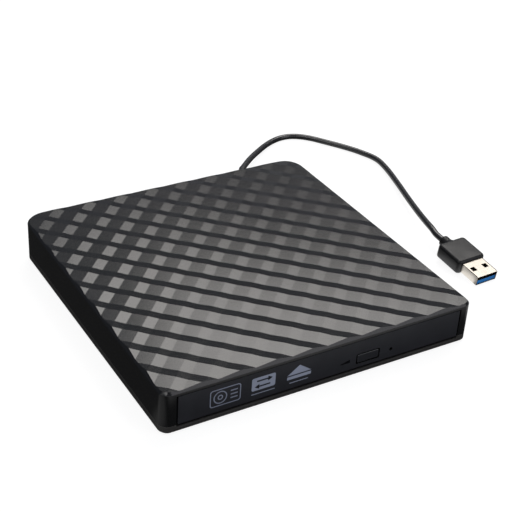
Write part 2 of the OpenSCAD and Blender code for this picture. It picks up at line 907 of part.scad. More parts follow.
// Rod with a collar that pushes the tray off its seat
module eject_plunger() {
    color(steel)
        in_drive()
            translate([ejector_x, 0, ejector_z]) {
                translate([0, ejector_tip, 0])
                    bar_y(ejector_r, spring_back - 0.4 - ejector_tip);
                translate([0, spring_front - collar_t, 0])
                    bar_y(collar_r, collar_t);
            }
}

// A tube along points whose own direction never stands upright
function unit(v) = v / norm(v);
function heading(p, i) = unit(p[min(i + 1, len(p) - 1)] - p[max(i - 1, 0)]);
function ring_across(t, up) = unit(cross(t, up));
function tube_ring(p, i, r, sides, up) =
    let (t = heading(p, i), a = ring_across(t, up), b = cross(a, t))
    [for (k = [0:sides - 1]) p[i] + r * (cos(360 * k / sides) * a + sin(360 * k / sides) * b)];
function tube_points(p, r, sides, up) = [for (i = [0:len(p) - 1]) each tube_ring(p, i, r, sides, up)];
function tube_faces(rings, sides) = concat(
    [for (i = [0:rings - 2], k = [0:sides - 1]) let (n = (k + 1) % sides, a = i * sides, b = a + sides)
        each [[a + k, a + n, b + n], [a + k, b + n, b + k]]],
    [[for (k = [sides - 1:-1:0]) k]],
    [[for (k = [0:sides - 1]) (rings - 1) * sides + k]]);
module tube(p, r, sides, up) {
    polyhedron(tube_points(p, r, sides, up), tube_faces(len(p), sides));
}

// Spring behind the plunger's collar, wound as one unbroken wire
spring_start = spring_front + spring_wire_r + 0.05;
spring_points = [for (i = [0:spring_turns * spring_rings])
    let (a = 360 * i / spring_rings)
    [spring_r * cos(a), spring_start + i * spring_pitch / spring_rings, spring_r * sin(a)]];
module eject_spring() {
    color(steel)
        in_drive()
            translate([ejector_x, 0, ejector_z])
                tube(spring_points, spring_wire_r, spring_sides, [0, 1, 0]);
}

// Board behind the drive unit that turns its signals into the cord's
module bridge_board() {
    color(board_green)
        in_drive()
            difference() {
                block([bridge_x[0], bridge_y[0], bridge_z], [bridge_x[1], bridge_y[1], bridge_top]);
                for (p = bridge_post_at)
                    translate([p[0], p[1], bridge_z - past])
                        cylinder(r = screw_hole_r, h = bridge_t + 2 * past);
            }
}

// Chips on the bridge board: place behind the drive unit, size and height of each
bridge_parts = [
    [8, 3, 7, 7, 0.9], [20, 3.5, 5, 4, 0.8], [30, 3, 4, 3, 2.4], [38, 4, 3, 3, 1.6], [-24, 9, 8, 3, 1]
];
module bridge_chips() {
    color(chip_grey)
        in_drive()
            for (c = bridge_parts)
                translate([c[0], drive_d + c[1], bridge_top])
                    cube([c[2], c[3], c[4]]);
}

// Connector on the bridge board whose tongue enters the drive's connector
module bridge_connector() {
    tongue_low = board_top + plug_wall + fit_gap;
    tongue_high = board_top + plug_h - plug_wall - fit_gap;
    color(soft_black)
        in_drive() {
            block([plug_x[0], connector_back + fit_gap, bridge_top],
                [plug_x[1], connector_back + fit_gap + bridge_connector_l, board_top + plug_h]);
            block([plug_x[0] + plug_wall + 1 + fit_gap, connector_back - plug_depth + fit_gap, tongue_low],
                [plug_x[1] - plug_wall - 1 - fit_gap, connector_back + fit_gap, tongue_high]);
        }
}

// Screws that hold the bridge board to its posts
module bridge_screws() {
    color(steel)
        in_drive()
            for (p = bridge_post_at)
                translate([p[0], p[1], bridge_top])
                    mirror([0, 0, 1])
                        screw(bridge_screw_l - 0.2);
}

// Block on the bridge board that takes the cord's wires
module cord_connector() {
    half = 4;
    depth = 5;
    color(white_plastic)
        block([cord_x - half, cord_start - depth, drive_z + bridge_top],
            [cord_x + half, cord_start, cord_z + cord_d / 2 + 0.5]);
}

// Tapered relief round the cord, with a flange inside the back wall
module strain_relief() {
    back = case_d / 2;
    color(soft_black)
        translate([cord_x, back, cord_z])
            rotate([-90, 0, 0])
                difference() {
                    union() {
                        translate([0, 0, -wall_t - relief_flange_t])
                            cylinder(r = relief_flange_r, h = relief_flange_t);
                        translate([0, 0, -wall_t])
                            cylinder(r = relief_r, h = wall_t);
                        cylinder(r1 = relief_r, r2 = relief_tail_r, h = relief_l);
                    }
                    translate([0, 0, -wall_t - relief_flange_t - past])
                        cylinder(r = cord_d / 2 + run_gap, h = case_d);
                }
}

// The cord, as one smooth tube through its route
function route_at(i) = route[max(0, min(len(route) - 1, i))];
function between(i, t) =
    let (a = route_at(i - 1), b = route_at(i), c = route_at(i + 1), d = route_at(i + 2))
    b + t / 2 * ((c - a) + t * ((2 * a - 5 * b + 4 * c - d) + t * (3 * b - a - 3 * c + d)));
cord_points = concat(
    [for (i = [0:len(route) - 2], k = [0:cord_steps - 1]) between(i, k / cord_steps)],
    [route[len(route) - 1]]);
module cord() {
    color(soft_black)
        tube(cord_points, cord_d / 2, cord_sides, [0, 0, 1]);
}

// Moulded grip of the plug with a round neck
module plug_grip() {
    x = grip_w / 2;
    z = grip_h / 2;
    b = grip_bevel;
    color(soft_black)
        in_plug() {
            intersection() {
                upright(shell_l, shell_l + grip_l)
                    polygon([
                        [b - x, -z], [x - b, -z], [x, b - z], [x, z - b],
                        [x - b, z], [b - x, z], [-x, z - b], [-x, b - z]
                    ]);
                translate([0, shell_l + grip_l / 2, -z - past])
                    linear_extrude(grip_h + 2 * past)
                        round_rect(grip_w, grip_l, grip_corner_r);
            }
            translate([0, shell_l + grip_l, 0])
                bar_y(neck_r, neck_l);
        }
}

// Metal shell of the plug, open at the nose, with two square holes above and below
module plug_shell() {
    color(steel)
        in_plug()
            difference() {
                block([-shell_w / 2, 0, -shell_h / 2], [shell_w / 2, shell_l, shell_h / 2]);
                block([shell_t - shell_w / 2, -past, shell_t - shell_h / 2],
                    [shell_w / 2 - shell_t, shell_l + past, shell_h / 2 - shell_t]);
                for (sx = [-1, 1])
                    block([sx * shell_hole_x - shell_hole / 2, shell_hole_y, -shell_h],
                        [sx * shell_hole_x + shell_hole / 2, shell_hole_y + shell_hole, shell_h]);
            }
}

// Blue carrier in the lower half of the shell
module plug_tongue() {
    x = shell_w / 2 - shell_t - thread_gap;
    low = shell_t - shell_h / 2 + thread_gap;
    color([0.12, 0.35, 0.75])
        in_plug()
            block([-x, 0.4, low], [x, shell_l, low + tongue_h]);
}

// Contact strips on the carrier
module plug_contacts() {
    low = shell_t - shell_h / 2 + thread_gap + tongue_h;
    color(brass_gold)
        in_plug()
            for (k = [-1.5:1:1.5])
                block([k * contact_pitch - contact_w / 2, 1.4, low],
                    [k * contact_pitch + contact_w / 2, 1.4 + contact_l, low + contact_t]);
}

// Tray: rim, disc recess, pickup window, runners, board posts and bezel tabs
module tray() {
    color(satin_black)
        in_drive()
            difference() {
                union() {
                    difference() {
                        block([-tray_half, tray_front, deck_z], [tray_half, tray_back, deck_top]);
                        translate([0, spindle_y, recess_z])
                            cylinder(r = recess_r, h = deck_h);
                        translate([0, spindle_y, recess_z - small_disc_drop])
                            cylinder(r = small_disc_r, h = deck_h);
                        translate([0, spindle_y, deck_z - past])
                            cylinder(r = pocket_r, h = recess_under - deck_z + past);
                    }
                    for (sx = [0, 1])
                        mirror([sx, 0, 0])
                            tray_runner();
                    for (p = board_post_at)
                        translate([p[0], p[1], board_top])
                            cylinder(r = board_post_r, h = recess_z - 0.2 - board_top);
                    for (x = tab_at)
                        block([x - tab_w / 2, bezel_face_t, deck_z],
                            [x + tab_w / 2, tray_front + past, deck_top - 0.2]);
                    block([ejector_x - 2, ejector_tip - 1.2, ejector_z - 1.2],
                        [ejector_x + 2, ejector_tip - 0.2, recess_z - 0.2]);
                    block([cable_x + 1, cable_end_y - 6, cable_leaf_top()],
                        [cable_x + cable_w - 1, cable_end_y, recess_z - 0.2]);
                }
                pickup_window();
                translate([0, spindle_y, 0])
                    rotate([0, 0, sled_angle])
                        for (p = bush_at)
                            translate([p[0], p[1], recess_under - past])
                                cylinder(r = thread_r + thread_gap, h = bush_pilot + past);
            }
}

// Height of the flat cable's upper leaf
function cable_leaf_top() = cable_low_z + 2 * (cable_t + cable_bend_r) + 0.02;

// Channel under the tray that holds a rail, with its web up to the recess floor
module tray_runner() {
    difference() {
        block([runner_in, tray_front + 1.4, guide_z], [runner_out, runner_back, guide_z + guide_h]);
        block([runner_web_out, 0, rail_z - rail_gap],
            [runner_out + past, drive_d, rail_z + rail_h + rail_gap]);
    }
    block([runner_in, tray_front + 1.4, guide_z], [runner_web_out, runner_back, recess_z - 0.2]);
}

// Window in the tray for the turntable and the pickup
module pickup_window() {
    translate([0, spindle_y, recess_under - past])
        rotate([0, 0, sled_angle])
            linear_extrude(recess_floor_t + 2 * past)
                intersection() {
                    circle(window_r);
                    union() {
                        circle(window_hub_r);
                        translate([0, -window_slot_half])
                            square([recess_r, 2 * window_slot_half]);
                    }
                }
}

// Front panel with the button's hole, the light window's slot and the pinhole
module bezel() {
    color(satin_black)
        in_drive()
            difference() {
                block([-bezel_w / 2, 0, 0], [bezel_w / 2, bezel_t, drive_h]);
                block([bezel_rim - bezel_w / 2, bezel_face_t, bezel_rim],
                    [bezel_w / 2 - bezel_rim, bezel_t + past, drive_h - bezel_rim]);
                upright(-past, bezel_t)
                    translate([button_x, button_z])
                        round_rect(button_w + 2 * button_gap, button_h + 2 * button_gap, 0.8);
                upright(-past, bezel_t)
                    window_outline(thread_gap);
                translate([pinhole_x, -past, pinhole_z])
                    bar_y(pinhole_d / 2, bezel_t + past);
            }
}

// Wedge outline of the light window, let out by gap
module window_outline(gap) {
    translate([window_x, window_z])
        polygon([[-gap, -gap], [window_w + gap, -gap], [window_w + gap, window_h + gap], [-gap, 0.3 + gap]]);
}

// Clear wedge in the front panel with a flange behind it
module light_window() {
    color([0.75, 0.8, 0.85])
        in_drive() {
            upright(0, bezel_face_t)
                window_outline(0);
            block([window_x - 0.5, bezel_face_t, window_z - 0.5],
                [window_x + window_w + 0.5, bezel_face_t + 0.7, window_z + window_h + 0.5]);
        }
}

// Light on the front board behind its window
module light_source() {
    x = window_x + window_w / 2;
    y = tray_board_y[0] - 0.6;
    color([0.6, 0.9, 0.6])
        in_drive()
            block([x - light_w / 2, y, board_top], [x + light_w / 2, y + light_d, board_top + light_h]);
}

// Board behind the front panel, hung from the tray's posts
module tray_board() {
    color(board_green)
        in_drive()
            block([tray_board_x[0], tray_board_y[0], board_z], [tray_board_x[1], tray_board_y[1], board_top]);
}

// Push switch on the front board, with a bore for its plunger
module push_switch() {
    color(chip_grey)
        in_drive()
            difference() {
                block([button_x - switch_w / 2, switch_y, board_top],
                    [button_x + switch_w / 2, switch_y + switch_d, button_z + switch_w / 2 - 1]);
                translate([button_x, switch_y - past, button_z])
                    bar_y(plunger_r + run_gap, plunger_l + past);
            }
}

// Eject button: cap, flange behind the panel and stem to the switch
module eject_button() {
    flange_w = button_w + 2 * (button_gap + button_flange);
    flange_low = button_z - button_h / 2 - button_gap - 0.3;
    flange_top = deck_z - fit_gap;
    color(satin_black)
        in_drive() {
            upright(0, button_flange_y)
                translate([button_x, button_z])
                    round_rect(button_w, button_h, 0.5);
            upright(button_flange_y, button_flange_y + button_flange_t)
                translate([button_x - flange_w / 2, flange_low])
                    square([flange_w, flange_top - flange_low]);
            upright(button_flange_y, plunger_y)
                translate([button_x, button_z])
                    square([3, 2], center = true);
        }
}

// Plunger that the button drives into the switch
module switch_plunger() {
    color(white_plastic)
        in_drive()
            translate([button_x, plunger_y, button_z])
                bar_y(plunger_r, plunger_l - button_travel);
}

// Plate that carries the spindle motor, the rods and the lead screw
module traverse_frame() {
    block_z = [rod_block_z, frame_z + 0.2];
    margin = 0.6;
    color(steel)
        intersection() {
            in_pickup()
                difference() {
                    union() {
                        block([frame_back, frame_left, frame_z], [beam_out, frame_right, frame_top]);
                        for (st = [-1, 1], s = [[rod_in, rod_in + rod_block_l], [beam_in, beam_out]])
                            block([s[0], st * rod_offset - rod_block_w / 2, block_z[0]],
                                [s[1], st * rod_offset + rod_block_w / 2, block_z[1]]);
                        block([screw_in - journal_l, screw_offset - 2, block_z[0]],
                            [screw_in, screw_offset + 2, block_z[1]]);
                        block([beam_in - cradle_l, screw_offset - motor_r, block_z[0]],
                            [beam_in, screw_offset + motor_r, block_z[1]]);
                        for (p = motor_post_at)
                            translate([p[0], p[1], motor_base_z + motor_base_t])
                                cylinder(r = motor_post_r, h = frame_z + 0.2 - motor_base_z - motor_base_t);
                    }
                    block([opening_in, -opening_half, frame_z - past],
                        [beam_in, opening_half, frame_top + past]);
                    translate([0, 0, frame_z - past])
                        cylinder(r = rotor_hole_r, h = frame_t + 2 * past);
                    block([motor_in - fit_gap, screw_offset - motor_r - fit_gap, frame_z - past],
                        [motor_in + motor_l, screw_offset + motor_r + fit_gap, frame_top + past]);
                    for (st = [-1, 1])
                        translate([rod_in - past, st * rod_offset, rod_z])
                            bar_x(rod_bore_r, beam_out);
                    translate([screw_in - journal_l - past, screw_offset, screw_z])
                        bar_x(journal_r + run_gap, journal_l + 2 * past);
                    for (p = bush_at)
                        translate([p[0], p[1], frame_z - past])
                            cylinder(r = screw_hole_r, h = frame_t + 2 * past);
                    for (p = motor_post_at)
                        translate([p[0], p[1], motor_base_z])
                            cylinder(r = thread_r + thread_gap, h = 3);
                }
            in_drive()
                block([margin - runner_in, tray_front + margin, 0], [runner_in - margin, rear_in, drive_h]);
        }
}

// Thin plate over the pickup, with a slot for the lens and a hole for the turntable
module traverse_cover() {
    leg_w = 0.5;
    color(steel)
        in_pickup()
            difference() {
                union() {
                    block([cover_back, -cover_half, cover_z], [cover_front, cover_half, cover_z + cover_t]);
                    for (st = [-1, 1])
                        block([cover_slot_in + 2, min(st * cover_half, st * (cover_half - leg_w)), frame_top],
                            [cover_front - 7.5, max(st * cover_half, st * (cover_half - leg_w)), cover_z]);
                }
                translate([0, 0, frame_top - past])
                    cylinder(r = turntable_boss_r + 2, h = 3);
                block([cover_slot_in, -cover_slot_half, frame_top - past],
                    [cover_front + past, cover_slot_half, cover_z + past]);
                block([motor_in - fit_gap, screw_offset - motor_r - fit_gap, frame_top - past],
                    [motor_in + motor_l, cover_half + past, cover_z]);
            }
}

// Spindle motor: base plate, stator and bearing sleeve
module spindle_motor() {
    top = motor_base_z + motor_base_t;
    color(steel)
        in_pickup()
            difference() {
                union() {
                    translate([0, 0, motor_base_z])
                        cylinder(r = motor_base_r, h = motor_base_t);
                    block([-motor_base_l, -motor_base_half, motor_base_z], [0, motor_base_half, top]);
                    translate([0, 0, top - 0.1])
                        cylinder(r = stator_r, h = stator_h + 0.1);
                    translate([0, 0, top - 0.1])
                        cylinder(r = sleeve_r, h = sleeve_h + 0.1);
                }
                translate([0, 0, top])
                    cylinder(r = shaft_r + run_gap, h = sleeve_h + past);
                for (p = motor_post_at)
                    translate([p[0], p[1], motor_base_z - past])
                        cylinder(r = screw_hole_r, h = motor_base_t + 2 * past);
            }
}

// Rotor bell, shaft and turntable in one
module turntable() {
    color([0.35, 0.35, 0.37])
        in_pickup() {
            translate([0, 0, motor_base_z + motor_base_t + 0.3])
                cylinder(r = shaft_r, h = rotor_z - motor_base_z - motor_base_t);
            translate([0, 0, rotor_z])
                cylinder(r = rotor_r, h = rotor_t);
            translate([0, 0, rotor_z - rotor_skirt])
                difference() {
                    cylinder(r = rotor_r, h = rotor_skirt + 0.1);
                    translate([0, 0, -past])
                        cylinder(r = rotor_r - 1, h = rotor_skirt + past);
                }
            translate([0, 0, rotor_z + rotor_t - 0.1])
                cylinder(r = turntable_boss_r, h = disc_rest - turntable_t - rotor_z - rotor_t + 0.2);
            translate([0, 0, disc_rest - turntable_t])
                difference() {
                    cylinder(r = turntable_r, h = turntable_t);
                    translate([0, 0, turntable_t - ring_t])
                        ring_band(turntable_r - 0.4, turntable_r - 0.4 - ring_w, ring_t + past);
                }
        }
}

// A flat ring
module ring_band(outer, inner, h) {
    difference() {
        cylinder(r = outer, h = h);
        translate([0, 0, -past])
            cylinder(r = inner, h = h + 2 * past);
    }
}

// Rubber ring that the disc rests on
module turntable_ring() {
    outer = turntable_r - 0.4 - thread_gap;
    color(soft_black)
        in_pickup()
            translate([0, 0, disc_rest - ring_t])
                ring_band(outer, outer - ring_w + 2 * thread_gap, ring_t);
}

// Hub that centres the disc, with pockets for the clamping balls
module hub() {
    color(chip_grey)
        in_pickup()
            difference() {
                translate([0, 0, disc_rest])
                    cylinder(r = hub_r, h = hub_h);
                for (k = [0:2])
                    rotate([0, 0, 120 * k])
                        translate([ball_reach - ball_pocket_r, 0, ball_z])
                            bar_x(ball_pocket_r, hub_r);
            }
}

module hub_balls() {
    color(steel)
        in_pickup()
            for (k = [0:2])
                rotate([0, 0, 120 * k])
                    translate([ball_reach, 0, ball_z])
                        sphere(ball_r);
}

// Metal cap on the hub
module hub_cap() {
    color(steel)
        in_pickup()
            translate([0, 0, disc_rest + hub_h])
                cylinder(r = cap_r, h = cap_t);
}

// Steel rods that the sled slides on
module guide_rods() {
    color(steel)
        in_pickup()
            for (st = [-1, 1])
                translate([rod_in + 0.2, st * rod_offset, rod_z])
                    bar_x(rod_r, beam_out - 0.4 - rod_in);
}

// Motor at the outer end of the lead screw
module sled_motor() {
    color(steel)
        in_pickup()
            translate([motor_in, screw_offset, screw_z])
                difference() {
                    bar_x(motor_r, motor_l);
                    translate([-past, 0, 0])
                        bar_x(journal_r + run_gap, journal_l + past);
                }
}

// Lead screw: an off-centre bar twisted into a thread, with a journal at each end
module lead_screw() {
    depth = 0.25;
    thread_l = screw_out - screw_in - 0.1;
    turns = thread_l / screw_pitch;
    color(brass_gold)
        in_pickup()
            translate([screw_in, screw_offset, screw_z])
                rotate([0, 90, 0]) {
                    translate([0, 0, 0.1])
                        linear_extrude(thread_l, twist = -360 * turns, slices = ceil(turns * 8), $fn = 10)
                            translate([depth, 0])
                                circle(screw_r - depth);
                    translate([0, 0, 0.1 - journal_l])
                        cylinder(r = journal_r, h = journal_l);
                    translate([0, 0, screw_out - screw_in])
                        cylinder(r = journal_r, h = journal_l);
                }
}

// Pickup sled on the rods, with an arm towards the lead screw
module sled() {
    back = sled_in;
    front = lens_reach + sled_front;
    arm_l = 5;
    color(chip_grey)
        in_pickup()
            difference() {
                union() {
                    block([back, -sled_half, sled_z], [front, sled_half, sled_top]);
                    block([back, 0, screw_z - 1.1],
                        [back + arm_l, screw_offset - screw_r - fit_gap, screw_z + 1.1]);
                }
                for (st = [-1, 1])
                    translate([back - past, st * rod_offset, rod_z])
                        bar_x(rod_r + run_gap, front - back + 2 * past);
                translate([lens_reach, 0, sled_z - past])
                    cylinder(r = lens_r, h = sled_top);
            }
}

// Magnets on both sides of the lens holder
module focus_magnets() {
    inner = holder_w / 2 + fit_gap;
    color(steel)
        in_pickup()
            for (st = [-1, 1])
                block([lens_reach - 3, min(st * inner, st * (inner + magnet_w)), sled_top],
                    [lens_reach + 3, max(st * inner, st * (inner + magnet_w)), sled_top + magnet_h]);
}

// Holder that floats above the sled
module lens_holder() {
    color(soft_black)
        in_pickup()
            difference() {
                block([lens_reach - holder_l / 2, -holder_w / 2, holder_z],
                    [lens_reach + holder_l / 2, holder_w / 2, holder_z + holder_t]);
                translate([lens_reach, 0, holder_z + holder_t - 0.8])
                    cylinder(r = lens_r + thread_gap, h = 0.8 + past);
                translate([lens_reach, 0, holder_z - past])
                    cylinder(r = lens_r - 0.5, h = holder_t + past);
            }
}

// Lens with a domed top
module lens() {
    dome = 0.3;
    color([0.55, 0.65, 0.8])
        in_pickup()
            translate([lens_reach, 0, holder_z + holder_t - 0.8]) {
                cylinder(r = lens_r, h = 0.75);
                translate([0, 0, 0.75])
                    cylinder(r1 = lens_r - 0.4, r2 = lens_r - 1.2, h = dome);
            }
}

// Rubber bushes between the pickup's frame and the tray
module rubber_bushes() {
    color(soft_black)
        in_pickup()
            for (p = bush_at)
                translate([p[0], p[1], frame_top])
                    ring_band(bush_r, screw_hole_r, recess_under - frame_top);
}

// Screws through the bushes into the tray, and through the motor's base into its posts
module traverse_screws() {
    color(steel)
        in_pickup() {
            for (p = bush_at)
                translate([p[0], p[1], frame_z])
                    screw(recess_under + bush_pilot - 0.05 - frame_z);
            for (p = motor_post_at)
                translate([p[0], p[1], motor_base_z]) {
                    cylinder(r = thread_r, h = 2.8);
                    translate([0, 0, -0.3])
                        cylinder(r = head_r, h = 0.3);
                }
        }
}

// Solenoid that lets the latch go, hung under the tray
module solenoid() {
    color(brass_gold)
        in_drive() {
            block([solenoid_at[0], solenoid_at[1], board_top + 0.5],
                [solenoid_at[0] + solenoid_size[0], solenoid_at[1] + solenoid_size[1], recess_under]);
            translate([solenoid_at[0] + solenoid_size[0], solenoid_at[1] + 2, latch_z + latch_t / 2])
                bar_x(0.7, 2.6);
        }
}

// Pin under the tray that the latch turns on
module latch_pivot() {
    washer_t = 0.5;
    low = latch_z - 0.2 - washer_t;
    color(steel)
        in_drive()
            translate([latch_at[0], latch_at[1], low]) {
                cylinder(r = pivot_r, h = recess_under - low);
                cylinder(r = pivot_r + 1, h = washer_t);
                translate([0, 0, washer_t + latch_t + 0.4])
                    cylinder(r = pivot_r + 1, h = recess_under - latch_z - latch_t - 0.2);
            }
}

// A flat bar of the latch between two points
module latch_bar(from, to) {
    run = to - from;
    translate([from[0], from[1], 0])
        rotate([0, 0, atan2(run[1], run[0])])
            translate([0, -latch_half, 0])
                cube([norm(run), 2 * latch_half, latch_t]);
}

// Latch lever with its hook and the arm behind the pinhole
module latch_lever() {
    color(white_plastic)
        in_drive()
            translate([latch_at[0], latch_at[1], latch_z])
                rotate([0, 0, latch_release])
                    translate([-latch_at[0], -latch_at[1], 0])
                        difference() {
                            union() {
                                latch_bar(latch_at, hook_at);
                                latch_bar(latch_at, release_at);
                                translate([latch_at[0], latch_at[1], 0])
                                    cylinder(r = 2 * pivot_r, h = latch_t);
                                block([hook_at[0] - 1.6, post_at[1] + post_r + fit_gap + 0.1, 0],
                                    [post_at[0], post_at[1] + post_r + fit_gap + 1.6, latch_t]);
                            }
                            translate([latch_at[0], latch_at[1], -past])
                                cylinder(r = pivot_r + run_gap, h = latch_t + 2 * past);
                        }
}

top_cover();
base_cover();
rubber_feet();
case_screws();
drive_screws();
drive_pan();
drive_lid();
lid_screws();
left_guide();
right_guide();
main_board();
drive_chips();
drive_connector();
flat_cable();
latch_post();
eject_housing();
eject_spring();
eject_plunger();
bridge_board();
bridge_chips();
bridge_connector();
bridge_screws();
cord_connector();
strain_relief();
cord();
plug_grip();
plug_shell();
plug_tongue();
plug_contacts();
left_rail();
right_rail();
tray();
bezel();
light_window();
light_source();
tray_board();
push_switch();
traverse_frame();
traverse_cover();
spindle_motor();
guide_rods();
sled_motor();
solenoid();
rubber_bushes();
traverse_screws();
latch_pivot();
eject_button();
switch_plunger();
turntable();
turntable_ring();
hub();
hub_cap();
hub_balls();
sled();
focus_magnets();
lens_holder();
lens();
lead_screw();
latch_lever();
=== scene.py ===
"""Looks of an external disc drive: its studio, its finishes and the pieces that dress its solids."""

import json
import logging
import math
from collections.abc import Callable
from dataclasses import dataclass
from enum import Enum

import bmesh
import bpy
import numpy as np
from mathutils import Matrix, Vector

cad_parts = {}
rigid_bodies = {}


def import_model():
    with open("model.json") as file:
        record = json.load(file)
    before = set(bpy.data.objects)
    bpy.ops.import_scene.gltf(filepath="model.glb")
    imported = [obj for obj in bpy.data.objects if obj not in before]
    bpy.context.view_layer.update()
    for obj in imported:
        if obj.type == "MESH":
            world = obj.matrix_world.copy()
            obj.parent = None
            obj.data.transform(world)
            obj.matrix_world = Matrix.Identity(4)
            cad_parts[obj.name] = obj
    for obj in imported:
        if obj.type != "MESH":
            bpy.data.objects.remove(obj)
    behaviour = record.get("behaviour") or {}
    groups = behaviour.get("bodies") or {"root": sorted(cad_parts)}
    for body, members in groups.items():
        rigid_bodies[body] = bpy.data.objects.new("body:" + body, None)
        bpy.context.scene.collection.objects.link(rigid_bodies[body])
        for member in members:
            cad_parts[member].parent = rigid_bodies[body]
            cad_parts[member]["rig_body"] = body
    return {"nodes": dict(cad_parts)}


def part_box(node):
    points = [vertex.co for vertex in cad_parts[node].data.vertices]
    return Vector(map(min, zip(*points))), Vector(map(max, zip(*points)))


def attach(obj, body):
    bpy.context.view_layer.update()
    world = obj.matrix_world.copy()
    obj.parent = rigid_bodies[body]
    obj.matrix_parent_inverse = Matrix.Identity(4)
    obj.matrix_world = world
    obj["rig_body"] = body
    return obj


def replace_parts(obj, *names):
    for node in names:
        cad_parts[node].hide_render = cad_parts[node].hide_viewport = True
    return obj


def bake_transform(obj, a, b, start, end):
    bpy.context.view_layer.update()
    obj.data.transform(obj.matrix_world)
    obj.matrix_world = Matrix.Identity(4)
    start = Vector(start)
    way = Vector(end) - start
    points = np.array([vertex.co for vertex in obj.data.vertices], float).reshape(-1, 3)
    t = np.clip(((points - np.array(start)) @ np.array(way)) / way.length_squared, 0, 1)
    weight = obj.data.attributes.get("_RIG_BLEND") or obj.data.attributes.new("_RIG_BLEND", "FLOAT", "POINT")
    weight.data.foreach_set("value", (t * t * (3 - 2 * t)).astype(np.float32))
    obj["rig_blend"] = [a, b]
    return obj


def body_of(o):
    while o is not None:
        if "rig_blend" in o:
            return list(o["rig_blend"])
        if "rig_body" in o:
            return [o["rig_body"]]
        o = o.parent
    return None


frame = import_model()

log = logging.getLogger("disc_drive")

MM = 0.001
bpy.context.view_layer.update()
WHITE = (1.0, 1.0, 1.0)
ACROSS, ALONG, UP = np.eye(3)
WHOLE_TURN = 2 * math.pi
HALF_TURN = math.pi
QUARTER_TURN = math.pi / 2
FACING = 0.7
SIDEWAYS = 0.5
SAME_PLACE = 1e-7
NO_LENGTH = 1e-8

Points = np.ndarray
Pair = tuple[float, float]
Triple = tuple[float, float, float]
Colour = Triple
Thing = bpy.types.Object
Socket = bpy.types.NodeSocket


def grid_faces(rows: int, columns: int) -> Points:
    """Quads of a grid whose rows close on themselves.

    Args:
        rows: number of rings of points.
        columns: points in each ring.

    Returns:
        Four point numbers for each quad, ring by ring.
    """
    r, c = np.meshgrid(np.arange(rows - 1), np.arange(columns), indexing="ij")
    n = (c + 1) % columns
    quads = [r * columns + c, r * columns + n, (r + 1) * columns + n, (r + 1) * columns + c]
    return np.stack(quads, axis=-1).reshape(-1, 4)


def circle(sides: int) -> Points:
    """Unit circle: cosine and sine of equal steps of a turn."""
    turn = np.linspace(0, WHOLE_TURN, sides, endpoint=False)
    return np.stack([np.cos(turn), np.sin(turn)], axis=1)


def round_rect(w: float, h: float, r: float, sides: int = 64) -> Points:
    """Outline of a rectangle with round corners: a quarter turn about each corner's middle."""
    turn = circle(sides)
    return turn * r + np.sign(turn + 1e-9) * [w / 2 - r, h / 2 - r]


def sweep(path: Points, profile: Points, up: Points) -> Points:
    """Carries a closed profile along a path and closes both ends to a point.

    A point is the path's point plus the profile's first number across the path and its second one over
    it, where across is the heading crossed with up, and over is across crossed with the heading.

    Args:
        path: points that the profile's middle follows.
        profile: points of the profile about its middle.
        up: direction that the path never takes.

    Returns:
        Rings of points, ring by ring, with a ring of no size at each end.
    """
    heading = np.gradient(path, axis=0)
    heading /= np.linalg.norm(heading, axis=1, keepdims=True)
    across = np.cross(heading, up)
    across /= np.linalg.norm(across, axis=1, keepdims=True)
    over = np.cross(across, heading)
    offset = profile[None, :, :1] * across[:, None] + profile[None, :, 1:] * over[:, None]
    rings = path[:, None] + offset
    first = np.repeat(path[:1, None], len(profile), axis=1)
    last = np.repeat(path[-1:, None], len(profile), axis=1)
    return np.concatenate([first, rings, last])


def revolve(profile: Points, centre: Points, axis: Points, sides: int) -> Points:
    """Turns a profile about an axis: centre plus height along the axis plus radius round it.

    Args:
        profile: height and radius of each ring.
        centre: point where the height is nothing.
        axis: unit direction of the height, square to the one across.
        sides: points in each ring.

    Returns:
        Rings of points, ring by ring.
    """
    turn = circle(sides)
    round_it = turn[:, :1] * ACROSS + turn[:, 1:] * np.cross(axis, ACROSS)
    return centre + profile[:, None, :1] * axis + profile[:, None, 1:] * round_it[None]


def smooth_line(points: Points, steps: int) -> Points:
    """Smooth line through points, each stretch a cubic of its two ends and their neighbours.

    Args:
        points: points that the line passes through.
        steps: steps in each stretch.

    Returns:
        Points along the line, both ends included.
    """
    padded = np.concatenate([points[:1], points, points[-1:]])
    a, b, c, d = (padded[k:len(padded) - 3 + k, None] for k in range(4))
    t = np.linspace(0, 1, steps, endpoint=False)[None, :, None]
    line = b + t / 2 * ((c - a) + t * ((2 * a - 5 * b + 4 * c - d) + t * (3 * b - a - 3 * c + d)))
    return np.concatenate([line.reshape(-1, 3), points[-1:]])


def show(name: str, data: bpy.types.ID) -> Thing:
    """Makes an object and links it to the scene.

    Args:
        name: the object's name.
        data: its mesh, lamp or camera.

    Returns:
        The new object.
    """
    made = bpy.data.objects.new(name, data)
    bpy.context.scene.collection.objects.link(made)
    return made


